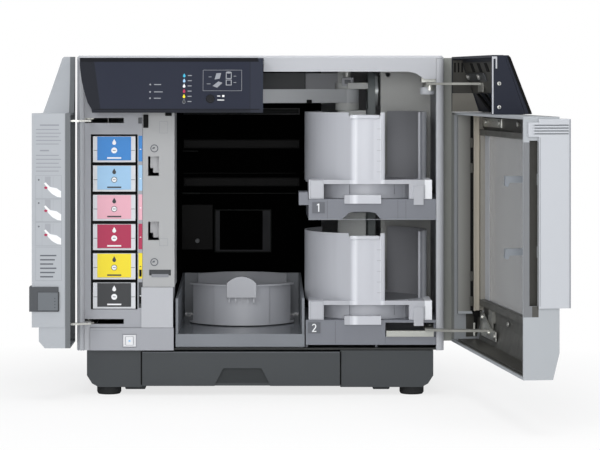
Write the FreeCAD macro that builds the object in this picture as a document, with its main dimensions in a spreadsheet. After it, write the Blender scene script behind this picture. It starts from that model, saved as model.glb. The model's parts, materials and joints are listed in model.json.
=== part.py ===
import FreeCAD, Part
import math
import os
import Sketcher

# Disc label printer with its two front covers open.
# Lengths in mm, angles in degrees.  X = 0 is the middle of the cabinet, Y = 0 the
# front plane of its frame, Z = 0 the table.  Both covers are drawn closed and then
# turned open about their own hinge pins.

sizes = {
    # cabinet
    "half_width": 188.1,
    "cabinet_depth": 440.0,
    "cabinet_top": 348.0,
    "panel_wall": 2.5,
    "corner_round": 6.0,
    "frame_flange": 8.0,
    "seat_gap": 0.3,
    "pin_play": 0.05,
    "origin_x": -24.4,
    "origin_y": -86.0,
    # base, feet and drawer
    "base_left": -178.0,
    "base_right": 177.4,
    "base_front": 5.0,
    "base_top": 45.6,
    "base_bottom": 8.0,
    "base_bevel": 12.0,
    "base_floor": 3.2,
    "foot_radius": 12.5,
    "foot_half_span": 156.0,
    "foot_front_y": 19.0,
    "foot_rear_y": 398.0,
    "deck_thick": 2.0,
    "drawer_left": -121.1,
    "drawer_right": 81.4,
    "drawer_bottom": 12.2,
    "drawer_depth": 236.0,
    "drawer_front_thick": 4.0,
    "drawer_wall": 2.2,
    # top cover and control panel
    "beam_bottom": 331.6,
    "beam_ear_bottom": 324.0,
    "panel_left": -183.6,
    "panel_right": 2.7,
    "panel_bottom": 290.0,
    "panel_top_reach": 15.5,
    "panel_foot_reach": 35.0,
    "select_button_radius": 4.1,
    # ink bay and cartridges
    "ink_left": -173.7,
    "ink_right": -125.8,
    "ink_top": 267.4,
    "ink_bottom": 88.1,
    "cartridge_width": 43.5,
    "cartridge_height": 26.6,
    "cartridge_pitch": 30.0,
    "cartridge_depth": 160.0,
    # pillar and power panel
    "pillar_left": -120.4,
    "pillar_right": -88.0,
    "pillar_top": 291.0,
    "pillar_foot": 110.8,
    "power_top": 69.2,
    "power_bottom": 46.4,
    "power_button_width": 8.7,
    "power_button_height": 10.0,
    # disc bay
    "wall_y": 219.0,
    "wall_thick": 2.0,
    "drive_bottom": 196.0,
    "drive_height": 41.0,
    "drive_width": 146.0,
    "drive_length": 190.0,
    "tray_height": 8.0,
    # arm and gripper
    "arm_x": 96.0,
    "arm_y": 187.0,
    "tower_drop": 6.0,
    "arm_drop": 50.0,
    "arm_thick": 15.0,
    "rod_radius": 4.0,
    # stackers and shelves
    "stack_x": 110.6,
    "stack_y": 66.3,
    "stack_radius": 64.0,
    "stack_wall": 2.4,
    "stack_wall_height": 69.0,
    "stack_base_height": 19.5,
    "shelf_one_top": 200.9,
    "shelf_one_bottom": 179.7,
    "shelf_two_top": 77.0,
    "dish_x": -20.0,
    "dish_y": 150.0,
    "dish_radius": 62.0,
    "dish_height": 47.0,
    "tray_left": -86.9,
    "tray_right": 45.2,
    "tray_floor": 61.0,
    # disc cover
    "cover_gap": 2.4,
    "cover_left": -121.3,
    "cover_side_lap": 0.4,
    "cover_bottom": 51.0,
    "cover_step": 289.6,
    "cover_reach": 36.0,
    "cover_wall": 2.4,
    "cap_left": 4.0,
    "cap_drop": 1.0,
    "cap_top_reach": 15.7,
    "cover_pin_inset": 13.0,
    "cover_pin_y": 23.5,
    "cover_open": 97.2,
    "hinge_pin_radius": 2.5,
    # ink cover
    "ink_cover_right": -122.5,
    "ink_pin_inset": 11.1,
    "ink_pin_y": 12.0,
    "ink_open": 90.0,
}

doc = FreeCAD.newDocument("DiscLabelPrinter")
sheet = doc.addObject("Spreadsheet::Sheet", "Sizes")
for row, (alias, number) in enumerate(sizes.items(), start=1):
    sheet.set("A%d" % row, alias)
    sheet.set("B%d" % row, str(number))
    sheet.setAlias("B%d" % row, alias)
doc.recompute()


class Formula:
    # A length that knows its value and the sheet expression it comes from.
    def __init__(self, value, text):
        self.value = float(value)
        self.text = text

    def __add__(self, other):
        other = formula(other)
        return Formula(self.value + other.value, "(%s + %s)" % (self.text, other.text))

    def __sub__(self, other):
        other = formula(other)
        return Formula(self.value - other.value, "(%s - %s)" % (self.text, other.text))

    def __mul__(self, other):
        other = formula(other)
        return Formula(self.value * other.value, "(%s * %s)" % (self.text, other.text))

    def __truediv__(self, other):
        other = formula(other)
        return Formula(self.value / other.value, "(%s / %s)" % (self.text, other.text))

    def __radd__(self, other):
        return formula(other) + self

    def __rsub__(self, other):
        return formula(other) - self

    def __rmul__(self, other):
        return formula(other) * self

    def __neg__(self):
        return Formula(-self.value, "(-1 * %s)" % self.text)


def formula(number):
    if isinstance(number, Formula):
        return number
    return Formula(number, "(%.6f)" % number)


class Named:
    # Each named size of the sheet as a Formula.
    def __getattr__(self, alias):
        return Formula(sheet.get(alias), "Sizes." + alias)


size = Named()
subparts = []


def bind(item, prop, length):
    # Tie one property to its expression.
    item.setExpression(prop, formula(length).text)


def block(name, left, right, front, rear, low, high):
    # A box between six planes.
    item = doc.addObject("Part::Box", name)
    bind(item, "Length", formula(right) - left)
    bind(item, "Width", formula(rear) - front)
    bind(item, "Height", formula(high) - low)
    for axis, place in zip("xyz", (left, front, low)):
        bind(item, "Placement.Base." + axis, place)
    return item


turns = {
    "+Z": FreeCAD.Rotation(),
    "+X": FreeCAD.Rotation(FreeCAD.Vector(0, 1, 0), 90),
    "+Y": FreeCAD.Rotation(FreeCAD.Vector(1, 0, 0), -90),
}


def rod(name, x, y, z, radius, length, axis="+Z", turn=None, sweep=None):
    # A cylinder, or a sector of one, that starts at x, y, z and runs along axis.
    item = doc.addObject("Part::Cylinder", name)
    bind(item, "Radius", radius)
    bind(item, "Height", length)
    if sweep is not None:
        bind(item, "Angle", sweep)
    rotation = turns[axis]
    if turn is not None:
        rotation = FreeCAD.Rotation(FreeCAD.Vector(0, 0, 1), turn)
    item.Placement = FreeCAD.Placement(FreeCAD.Vector(), rotation)
    for letter, place in zip("xyz", (x, y, z)):
        bind(item, "Placement.Base." + letter, place)
    return item


def cone(name, x, y, z, radius_low, radius_high, length):
    item = doc.addObject("Part::Cone", name)
    bind(item, "Radius1", radius_low)
    bind(item, "Radius2", radius_high)
    bind(item, "Height", length)
    for letter, place in zip("xyz", (x, y, z)):
        bind(item, "Placement.Base." + letter, place)
    return item


def fuse(name, *items):
    if len(items) == 1:
        return items[0]
    item = doc.addObject("Part::MultiFuse", name)
    item.Shapes = list(items)
    return item


def cut(name, base, *tools):
    item = doc.addObject("Part::Cut", name)
    item.Base = base
    item.Tool = fuse(name + "_tools", *tools)
    return item


def common(name, base, tool):
    item = doc.addObject("Part::Common", name)
    item.Base = base
    item.Tool = tool
    return item


def ring(name, x, y, z, outer, inner, length, axis="+Z"):
    # A tube: the bore is cut right through both ends.
    spare = 1
    start = {
        "+Z": (x, y, formula(z) - spare),
        "+Y": (x, formula(y) - spare, z),
        "+X": (formula(x) - spare, y, z),
    }
    bore = rod(name + "_bore", *start[axis], inner, formula(length) + 2 * spare, axis)
    return cut(name, rod(name + "_outer", x, y, z, outer, length, axis), bore)


def rectangle(left, right, low, high):
    return [(left, low), (right, low), (right, high), (left, high)]


class Piece:
    # A PartDesign body built from sketches on its own origin planes.
    def __init__(self, name):
        self.name = name
        self.body = doc.addObject("PartDesign::Body", name)
        self.steps = 0

    def sketch(self, plane, outlines, offset):
        # Every corner is placed from the origin, every circle by centre and radius.
        self.steps += 1
        drawing = self.body.newObject("Sketcher::SketchObject", "%s_sketch%d" % (self.name, self.steps))
        role = plane + "_Plane"
        origin_plane = [item for item in self.body.Origin.OriginFeatures if item.Role == role][0]
        drawing.AttachmentSupport = [(origin_plane, "")]
        drawing.MapMode = "FlatFace"
        bind(drawing, "AttachmentOffset.Base.z", offset)
        for outline in outlines:
            if isinstance(outline, tuple):
                self.circle(drawing, *outline)
            else:
                self.polygon(drawing, outline)
        return drawing

    def circle(self, drawing, x, y, radius):
        x, y, radius = formula(x), formula(y), formula(radius)
        centre = FreeCAD.Vector(x.value, y.value, 0)
        shape = Part.Circle(centre, FreeCAD.Vector(0, 0, 1), radius.value)
        index = drawing.addGeometry(shape, False)
        for kind, place in (("DistanceX", x), ("DistanceY", y)):
            row = drawing.addConstraint(Sketcher.Constraint(kind, -1, 1, index, 3, place.value))
            drawing.setExpression("Constraints[%d]" % row, place.text)
        row = drawing.addConstraint(Sketcher.Constraint("Radius", index, radius.value))
        drawing.setExpression("Constraints[%d]" % row, radius.text)

    def polygon(self, drawing, corners):
        corners = [(formula(x), formula(y)) for x, y in corners]
        count = len(corners)
        edges = []
        for index in range(count):
            here = corners[index]
            there = corners[(index + 1) % count]
            start = FreeCAD.Vector(here[0].value, here[1].value, 0)
            end = FreeCAD.Vector(there[0].value, there[1].value, 0)
            edges.append(Part.LineSegment(start, end))
        ids = drawing.addGeometry(edges, False)
        for index in range(count):
            after = ids[(index + 1) % count]
            drawing.addConstraint(Sketcher.Constraint("Coincident", ids[index], 2, after, 1))
        for index, (x, y) in zip(ids, corners):
            for kind, place in (("DistanceX", x), ("DistanceY", y)):
                row = drawing.addConstraint(Sketcher.Constraint(kind, -1, 1, index, 1, place.value))
                drawing.setExpression("Constraints[%d]" % row, place.text)

    def pad(self, plane, outlines, low, high):
        # Adds the outline between two planes; the XZ sketch looks along -Y.
        offset = -formula(high) if plane == "XZ" else low
        drawing = self.sketch(plane, outlines, offset)
        feature = self.body.newObject("PartDesign::Pad", "%s_pad%d" % (self.name, self.steps))
        feature.Profile = drawing
        bind(feature, "Length", formula(high) - low)
        return self

    def pocket(self, plane, outlines, low, high):
        # Takes the outline away between two planes.
        offset = -formula(low) if plane == "XZ" else high
        drawing = self.sketch(plane, outlines, offset)
        feature = self.body.newObject("PartDesign::Pocket", "%s_pocket%d" % (self.name, self.steps))
        feature.Profile = drawing
        bind(feature, "Length", formula(high) - low)
        doc.recompute()
        return self

    def edges(self, test):
        # Names of the edges whose middle passes the test.
        doc.recompute()
        found = []
        for number, edge in enumerate(self.body.Tip.Shape.Edges, start=1):
            if test(edge.CenterOfMass, edge):
                found.append("Edge%d" % number)
        return found

    def dress(self, kind, prop, amount, test):
        names = self.edges(test)
        base = self.body.Tip
        self.steps += 1
        title = "%s_%s%d" % (self.name, kind.lower(), self.steps)
        feature = self.body.newObject("PartDesign::" + kind, title)
        feature.Base = (base, names)
        bind(feature, prop, amount)
        return self

    def fillet(self, radius, test):
        return self.dress("Fillet", "Radius", radius, test)

    def chamfer(self, amount, test):
        return self.dress("Chamfer", "Size", amount, test)


def upright(edge):
    return abs(edge.BoundBox.XLength) < 0.01 and abs(edge.BoundBox.YLength) < 0.01


def near(place, target, reach=0.6):
    return abs(place - formula(target).value) < reach


def place_fixed(item, node):
    # Moves a finished sub-part into the part's own frame, on top of its own place.
    item.Label = node
    own = {path.lstrip("."): text for path, text in item.ExpressionEngine}
    for prop, shift in (("Placement.Base.x", size.origin_x), ("Placement.Base.y", size.origin_y)):
        item.setExpression(prop, "%s + %s" % (own.get(prop, "0"), shift.text))
    subparts.append(item)


def place_turned(item, node, pin_x, pin_y, angle, sense):
    # The same, after a turn about the vertical hinge pin at pin_x, pin_y.
    item.Label = node
    item.Placement = FreeCAD.Placement(FreeCAD.Vector(), FreeCAD.Rotation(FreeCAD.Vector(0, 0, sense), 0.5))
    cosine = "cos(%s * 1 deg)" % angle.text
    sine = "(%d * sin(%s * 1 deg))" % (sense, angle.text)
    east = "{o} + {x} - ({x} * {c} - {y} * {s})"
    north = "{o} + {y} - ({x} * {s} + {y} * {c})"
    words = {"x": pin_x.text, "y": pin_y.text, "c": cosine, "s": sine}
    item.setExpression("Placement.Rotation.Angle", "%s * 1 deg" % angle.text)
    item.setExpression("Placement.Base.x", east.format(o=size.origin_x.text, **words))
    item.setExpression("Placement.Base.y", north.format(o=size.origin_y.text, **words))
    subparts.append(item)


# ---- Base, feet, deck -------------------------------------------------------
gap = size.seat_gap
panel_inner = size.half_width - size.panel_wall
deck_low = size.base_top + gap
deck_top = deck_low + size.deck_thick
rear_y = size.cabinet_depth
cover_right = size.half_width + size.cover_side_lap
cap_top = size.cabinet_top - size.cap_drop
front_recess = 14.0
bay_edge = 0.6


def make_base_pan():
    bevel = size.base_bevel
    outline = [
        (size.base_left, size.base_top),
        (size.base_left, size.base_bottom + bevel),
        (size.base_left + bevel * 0.45, size.base_bottom + bevel * 0.3),
        (size.base_left + bevel, size.base_bottom),
        (size.base_right - bevel, size.base_bottom),
        (size.base_right - bevel * 0.45, size.base_bottom + bevel * 0.3),
        (size.base_right, size.base_bottom + bevel),
        (size.base_right, size.base_top),
    ]
    pan = Piece("base_pan")
    pan.pad("XZ", [outline], size.base_front, rear_y - 6)
    left = size.drawer_left - bay_edge
    right = size.drawer_right + bay_edge
    floor = size.drawer_bottom - bay_edge
    bay_rear = size.base_front + size.drawer_depth + 6
    pan.pocket("XY", [rectangle(left, right, size.base_front - 1, bay_rear)], floor, size.base_top + 1)
    front_end = size.base_front + front_recess
    mouth = rectangle(left, right, size.base_front - 1, front_end)
    pan.pocket("XY", [mouth], size.base_bottom - 1, floor + 1)
    rear_bay = rectangle(size.base_left + 8, size.base_right - 8, bay_rear + 8, rear_y - 14)
    pan.pocket("XY", [rear_bay], size.base_bottom + size.base_floor, size.base_top + 1)
    return pan.body


def make_feet():
    feet = []
    for side in (-1, 1):
        for name, y in (("front", size.foot_front_y), ("rear", size.foot_rear_y)):
            x = size.foot_half_span * side
            foot_name = "foot_%s_%d" % (name, side + 1)
            sole = cone(foot_name + "_sole", x, y, 0, size.foot_radius - 1.2, size.foot_radius, 2)
            pad_top = size.base_bottom - gap - 2
            upper = rod(foot_name + "_pad", x, y, 2, size.foot_radius, pad_top)
            feet.append(fuse(foot_name, sole, upper))
    return fuse("rubber_feet", *feet)


def make_deck():
    deck = Piece("deck_plate")
    left = -panel_inner + 1
    right = panel_inner - 1
    deck.pad("XY", [rectangle(left, right, size.base_front + 3, rear_y - 4)], deck_low, deck_top)
    return deck.body


place_fixed(make_base_pan(), "base_pan")
place_fixed(make_feet(), "rubber_feet")
place_fixed(make_deck(), "deck_plate")


# ---- Side panels, rear panel, top cover --------------------------------------
side_top = size.cabinet_top - 2.8


def make_side_panel(name, side):
    # An L in plan: the outer wall and a front flange, with a round front corner.
    outer = size.half_width * side
    inner = panel_inner * side
    flange = (size.half_width - size.frame_flange) * side
    low = size.base_top + 0.6
    panel = Piece(name)
    outline = [
        (outer, 0),
        (outer, rear_y),
        (inner, rear_y),
        (inner, 7),
        (flange, 7),
        (flange, 0),
    ]
    panel.pad("XY", [outline], low, side_top)
    panel.fillet(size.corner_round, lambda at, edge: upright(edge) and near(at.x, outer) and near(at.y, 0))
    return panel.body


def make_rear_panel():
    low = size.base_top + 0.6
    left = -panel_inner + gap
    right = panel_inner - gap
    panel = Piece("rear_panel")
    front = rear_y - size.panel_wall
    panel.pad("XZ", [rectangle(left, right, low, side_top)], front, rear_y)
    holes = [rectangle(-150, -119, 80, 108), rectangle(-100, -86, 88, 100)]
    holes.append((110, 105, 28))
    panel.pocket("XZ", holes, front - 1, rear_y + 1)
    grooves = []
    for row in range(9):
        level = 190 + 14 * row
        grooves.append(rectangle(-140, -20, level, level + 5))
        grooves.append(rectangle(10, 140, level, level + 5))
    panel.pocket("XZ", grooves, rear_y - size.panel_wall / 2, rear_y + 1)
    return panel.body


def make_top_cover():
    # Lid with a front beam whose lower edge drops to the right corner in a curve.
    left = -size.half_width
    right = size.half_width
    lid_low = size.cabinet_top - 2.5
    lid = Piece("top_cover")
    lid.pad("XY", [rectangle(left, right, 0, rear_y)], lid_low, size.cabinet_top)
    lid.fillet(size.corner_round, lambda at, edge: upright(edge) and near(at.y, 0))
    beam_left = size.panel_right + 0.6
    beam_right = size.half_width - size.frame_flange - gap
    ear_left = beam_right - 12
    beam = [
        (beam_left, lid_low + 0.5),
        (beam_left, size.beam_bottom),
        (ear_left - 16, size.beam_bottom),
        (ear_left - 9, size.beam_bottom - 1.6),
        (ear_left - 3, size.beam_ear_bottom + 2.2),
        (ear_left, size.beam_ear_bottom),
        (beam_right, size.beam_ear_bottom),
        (beam_right, lid_low + 0.5),
    ]
    lid.pad("XZ", [beam], 0, 3)
    lid.chamfer(2, lambda at, edge: near(at.y, 0) and near(at.z, size.cabinet_top))
    return lid.body


place_fixed(make_side_panel("left_side_panel", -1), "left_side_panel")
place_fixed(make_side_panel("right_side_panel", 1), "right_side_panel")
place_fixed(make_rear_panel(), "rear_panel")
place_fixed(make_top_cover(), "top_cover")


# ---- Control panel ----------------------------------------------------------
button_x = -50.6
button_z = 304.0
hollow_left = -150.0
hollow_right = -4.0


def make_control_panel():
    # A leaning hood: its left end is swept in with four straight facets.
    top = size.cabinet_top - 2.8
    front_top = -size.panel_top_reach
    front_foot = -size.panel_foot_reach
    hood = Piece("control_panel")
    side = [
        (-0.4, size.panel_bottom),
        (front_foot, size.panel_bottom),
        (front_foot - 0.4, size.panel_bottom + 2),
        (front_top, top),
        (-0.4, top),
    ]
    hood.pad("YZ", [side], size.panel_left, size.panel_right)
    low = size.panel_bottom
    left = size.panel_left
    corner = [
        (left - 1, low - 1),
        (left + 14, low - 1),
        (left + 13.3, low + 3.6),
        (left + 9.2, low + 10),
        (left + 5.6, low + 20.6),
        (left + 2.6, low + 32),
        (left + 0.6, low + 44),
        (left - 1, top + 1),
    ]
    hood.pocket("XZ", [corner], front_foot - 2, 1)
    inside = [
        (-3, low - 1),
        (front_foot + 6, low - 1),
        (front_top + 5, top - 3),
        (-3, top - 3),
    ]
    hood.pocket("YZ", [inside], hollow_left, hollow_right)
    bore = (button_x, button_z, size.select_button_radius + gap)
    hood.pocket("XZ", [bore], front_foot - 2, -12)
    return hood.body


def lean_y(height):
    # Front face of the leaning hood at a height.
    span = size.cabinet_top - 2.8 - size.panel_bottom
    rise = (formula(height) - size.panel_bottom) / span
    return -size.panel_foot_reach + (size.panel_foot_reach - size.panel_top_reach) * rise


def make_select_button():
    face = lean_y(button_z) - 1.6
    cap = rod("select_cap", button_x, face, button_z, size.select_button_radius, 9, "+Y")
    collar = rod("select_collar", button_x, face + 9, button_z, size.select_button_radius - 1.2, 6, "+Y")
    return fuse("select_button", cap, collar)


place_fixed(make_control_panel(), "control_panel")
place_fixed(make_select_button(), "select_button")


# ---- Left front: frame plate, ink bay, cartridges ---------------------------
plate_left = -size.half_width + size.frame_flange + gap
plate_right = size.pillar_left - gap
plate_top = size.cabinet_top - 2.8
arm_slot_right = -139.9
slot_high = 281.6
slot_low = 75.7
slot_half = 2.6


def make_ink_frame():
    frame = Piece("ink_frame")
    outline = rectangle(plate_left, plate_right, size.power_top + gap, plate_top)
    frame.pad("XZ", [outline], 0.5, 3)
    mouth = rectangle(size.ink_left, size.ink_right, size.ink_bottom, size.ink_top)
    upper = rectangle(plate_left - 1, arm_slot_right, slot_high - slot_half, slot_high + slot_half)
    lower = rectangle(plate_left - 1, arm_slot_right, slot_low - slot_half, slot_low + slot_half)
    frame.pocket("XZ", [mouth, upper, lower], -1, 4)
    return frame.body


def make_ink_bay():
    # Open box behind the mouth, with a shelf under each cartridge.
    left = size.ink_left
    right = size.ink_right
    low = size.ink_bottom
    high = size.ink_top
    depth = size.cartridge_depth + 20
    bay = Piece("ink_bay")
    bay.pad("XZ", [rectangle(left - 2, right + 2, low - 2, high + 2)], 3 + gap, depth)
    shelves = []
    for row in range(6):
        top = size.ink_top - 1.6 - size.cartridge_pitch * row
        shelves.append(rectangle(left + 1.2, right - 0.8, top - size.cartridge_height - 1, top + 0.6))
    bay.pocket("XZ", shelves, 3, depth - 3)
    return bay.body


def make_cartridge(row):
    # Flat ink case with a raised face frame and a keyed step at the rear.
    top = size.ink_top - 2 - size.cartridge_pitch * row
    low = top - size.cartridge_height
    left = (size.ink_left + size.ink_right - size.cartridge_width) / 2
    right = left + size.cartridge_width
    case = Piece("cartridge_%d" % (row + 1))
    rear = 4 + size.cartridge_depth
    case.pad("XZ", [rectangle(left, right, low, top)], 1.6, rear)
    case.pocket("XZ", [rectangle(left + 4.4, right - 4.4, low + 1.6, top - 1.6)], 1, 2.4)
    case.pocket("XZ", [rectangle(left - 1, left + 9, low + 9, low + 17)], rear - 12, rear + 1)
    return case.body


place_fixed(make_ink_frame(), "ink_frame")
place_fixed(make_ink_bay(), "ink_bay")
for row in range(6):
    place_fixed(make_cartridge(row), "ink_cartridge_%d" % (row + 1))


# ---- Pillar, power panel, power button --------------------------------------
def make_pillar():
    # A folded column: front face and right cheek, with the cover's latch holes.
    pillar = Piece("pillar")
    left = size.pillar_left
    right = size.pillar_right
    plan = [
        (left, 0.5),
        (right, 0.5),
        (right, 60),
        (right - 2.5, 60),
        (right - 2.5, 3),
        (left, 3),
    ]
    pillar.pad("XY", [plan], size.pillar_foot + gap, size.pillar_top)
    holes = [
        rectangle(-115, -103.9, 224.8, 244.7),
        rectangle(-115, -103.9, 159, 178),
        rectangle(-113.9, -91.7, 122.8, 128.8),
    ]
    pillar.pocket("XZ", holes, -1, 4)
    return pillar.body


def make_pillar_foot():
    foot = Piece("pillar_lower_cover")
    left = size.pillar_left - 1.4
    right = size.pillar_right - 1.6
    plan = [
        (left, -0.8),
        (right, -0.8),
        (right, 60),
        (right - 2, 60),
        (right - 2, 1.8),
        (left + 1.6, 1.8),
        (left + 1.6, 0.3),
        (left, 0.3),
    ]
    foot.pad("XY", [plan], size.power_top + gap, size.pillar_foot)
    return foot.body


def make_power_panel():
    panel = Piece("power_panel")
    left = -174.3
    right = size.pillar_right - 0.9
    panel.pad("XZ", [rectangle(left, right, size.power_bottom, size.power_top)], -1.5, 7.4)
    panel.pocket("XZ", [rectangle(left + 2, right - 2, size.power_bottom + 2, size.power_top - 2)], 1.5, 8)
    middle = -133.9
    half = size.power_button_width / 2 + gap
    tall = size.power_button_height / 2 + gap
    level = 56.2
    recess = rectangle(middle - 7.1, middle + 7.1, level - 7, level + 7)
    panel.pocket("XZ", [recess], -2, -0.5)
    panel.pocket("XZ", [rectangle(middle - half, middle + half, level - tall, level + tall)], -2, 2)
    return panel.body


def make_power_button():
    button = Piece("power_button")
    middle = -133.9
    half = size.power_button_width / 2
    tall = size.power_button_height / 2
    level = 56.2
    button.pad("XZ", [rectangle(middle - half, middle + half, level - tall, level + tall)], -2.3, 6)
    stem = rectangle(middle - half + 2, middle + half - 2, level - tall + 2, level + tall - 2)
    button.pad("XZ", [stem], 6, 11)
    return button.body


place_fixed(make_pillar(), "pillar")
place_fixed(make_pillar_foot(), "pillar_lower_cover")
place_fixed(make_power_panel(), "power_panel")
place_fixed(make_power_button(), "power_button")


# ---- Disc bay: walls, drives, printer ---------------------------------------
floor_z = deck_top + gap
bay_middle = -21.0
wall_front = size.wall_y - size.wall_thick
wall_left = -112.0
wall_right = 68.0
tray_half = 64.0
slot_room = 1.2
drive_step = size.drive_height + 1.5
printer_low = size.drive_bottom + drive_step * 2 + 1
printer_high = side_top - 4
paper_tray_low = printer_low + 3.5
paper_tray_thick = 5.0


def tray_low(number):
    # Underside of a drive's tray, above the drive's own underside.
    return size.drive_bottom + drive_step * number + 9


def make_drive_wall():
    # Rear wall of the bay and its left cheek, moulded as one liner.
    wall = Piece("drive_wall")
    wall.pad("XZ", [rectangle(wall_left, wall_right, floor_z, printer_high)], wall_front, size.wall_y)
    half = tray_half + slot_room
    slots = []
    for number in range(2):
        low = tray_low(number) - slot_room
        high = tray_low(number) + size.tray_height + slot_room
        slots.append(rectangle(bay_middle - half, bay_middle + half, low, high))
    low = paper_tray_low - slot_room
    high = paper_tray_low + paper_tray_thick + slot_room
    slots.append(rectangle(bay_middle - half, bay_middle + half, low, high))
    wall.pocket("XZ", slots, wall_front - 1, size.wall_y + 1)
    ridge = size.drive_bottom - 0.6
    strip = rectangle(wall_left + 30, wall_right - 24, ridge - 1.6, ridge)
    wall.pad("XZ", [strip], wall_front - 1.6, wall_front)
    wall.pad("XZ", [rectangle(-45.5, 2.5, 133, 184)], wall_front - 0.8, wall_front)
    cheek = rectangle(size.pillar_right - 2.5, size.pillar_right, 60 + gap, wall_front + 1)
    wall.pad("XY", [cheek], floor_z, size.pillar_top)
    return wall.body


def make_drive(number):
    low = size.drive_bottom + drive_step * number
    left = bay_middle - size.drive_width / 2
    right = bay_middle + size.drive_width / 2
    front = size.wall_y + gap
    drive = Piece("drive_%d" % (number + 1))
    case = rectangle(left, right, low, low + size.drive_height)
    drive.pad("XZ", [case], front, front + size.drive_length)
    bottom = tray_low(number) - gap
    half = tray_half + gap
    slot = rectangle(bay_middle - half, bay_middle + half, bottom, bottom + size.tray_height + 2 * gap)
    drive.pocket("XZ", [slot], front - 1, front + size.drive_length - 10)
    return drive.body


def make_drive_tray(number):
    # Loading tray with a disc recess, a centre slot and a front lip.
    low = tray_low(number)
    top = low + size.tray_height
    front = wall_front - 0.6
    rear = front + size.drive_length - 12
    tray = Piece("drive_tray_%d" % (number + 1))
    tray.pad("XY", [rectangle(bay_middle - tray_half, bay_middle + tray_half, front, rear)], low, top)
    tray.pocket("XY", [(bay_middle, front + 66, 60.2)], top - 2.6, top + 1)
    tray.pocket("XY", [(bay_middle, front + 66, 40.5)], top - 4.2, top + 1)
    slot = rectangle(bay_middle - 19, bay_middle + 19, front + 44, rear - 24)
    tray.pocket("XY", [slot], low - 1, top + 1)
    return tray.body


def make_printer_chassis():
    # Folded tray that carries the print head's rod above the disc tray.
    left = bay_middle - 88
    right = bay_middle + 88
    front = size.wall_y + gap
    rear = front + 150
    low = printer_low
    high = printer_high
    chassis = Piece("printer_chassis")
    chassis.pad("XY", [rectangle(left, right, front, rear)], low, high)
    chassis.pocket("XY", [rectangle(left + 2, right - 2, front + 2, rear - 2)], low + 11, high + 1)
    half = tray_half + gap
    slot_low = paper_tray_low - gap
    slot_high = paper_tray_low + paper_tray_thick + gap
    tray_slot = rectangle(bay_middle - half, bay_middle + half, slot_low, slot_high)
    chassis.pocket("XZ", [tray_slot], front - 1, rear - 6)
    return chassis.body


carriage_y = 295.0
carriage_z = 312.0
carriage_travel = 60.0


def make_carriage_rod():
    left = bay_middle - 86 + gap
    length = 172.0 - 2 * gap
    return rod("carriage_rod", left, carriage_y, carriage_z, size.rod_radius, length, "+X")


def make_print_head():
    # Carriage block with a bore that runs on the rod, parked at the left.
    middle = bay_middle - carriage_travel / 2
    head = Piece("print_head")
    half = 26.0
    outline = rectangle(carriage_y - 16, carriage_y + 16, carriage_z - 17, carriage_z + 15)
    head.pad("YZ", [outline], middle - half, middle + half)
    bore = (carriage_y, carriage_z, size.rod_radius + size.pin_play)
    head.pocket("YZ", [bore], middle - half - 1, middle + half + 1)
    return head.body


def make_print_tray():
    front = wall_front - 0.6
    rear = front + 144
    low = paper_tray_low
    top = low + paper_tray_thick
    tray = Piece("print_tray")
    tray.pad("XY", [rectangle(bay_middle - tray_half, bay_middle + tray_half, front, rear)], low, top)
    tray.pocket("XY", [(bay_middle, front + 66, 60.2)], top - 2, top + 1)
    hub = (bay_middle, front + 66, 7.2)
    tray.pad("XY", [hub], top - 2.2, top - 0.4)
    return tray.body


place_fixed(make_drive_wall(), "drive_wall")
for number in range(2):
    place_fixed(make_drive(number), "disc_drive_%d" % (number + 1))
    place_fixed(make_drive_tray(number), "drive_tray_%d" % (number + 1))
place_fixed(make_printer_chassis(), "printer_chassis")
place_fixed(make_carriage_rod(), "carriage_rod")
place_fixed(make_print_head(), "print_head")
place_fixed(make_print_tray(), "print_tray")


# ---- Power supply, main board, fan, inlets ----------------------------------
def make_power_supply():
    box = Piece("power_supply")
    box.pad("XY", [rectangle(-178, -96, 300, rear_y - 17)], floor_z, floor_z + 62)
    return box.body


def make_main_board():
    # Upright board on standoffs beside the power supply, with its larger chips.
    board = Piece("main_board")
    board.pad("YZ", [rectangle(236, 420, floor_z, floor_z + 128)], -60, -58.4)
    chips = [rectangle(270, 296, 96, 122), rectangle(320, 352, 92, 116), rectangle(370, 396, 110, 150)]
    board.pad("YZ", chips, -58.4, -54)
    return board.body


fan_x = 110.0
fan_z = 105.0
fan_radius = 27.0


def make_fan_frame():
    rear = rear_y - size.panel_wall - gap
    frame = Piece("fan_frame")
    half = 30.0
    frame.pad("XZ", [rectangle(fan_x - half, fan_x + half, fan_z - half, fan_z + half)], rear - 20, rear)
    frame.pocket("XZ", [(fan_x, fan_z, fan_radius + 1.5)], rear - 21, rear + 1)
    frame.pad("XZ", [(fan_x, fan_z, 10)], rear - 3, rear)
    spoke = rectangle(fan_x - fan_radius - 2, fan_x + fan_radius + 2, fan_z - 1.2, fan_z + 1.2)
    frame.pad("XZ", [spoke], rear - 3, rear)
    frame.pad("XZ", [(fan_x, fan_z, 2)], rear - 15, rear - 3)
    foot = rectangle(fan_x - half, fan_x + half, floor_z, fan_z - half)
    frame.pad("XZ", [foot], rear - 4, rear)
    return frame.body


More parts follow.
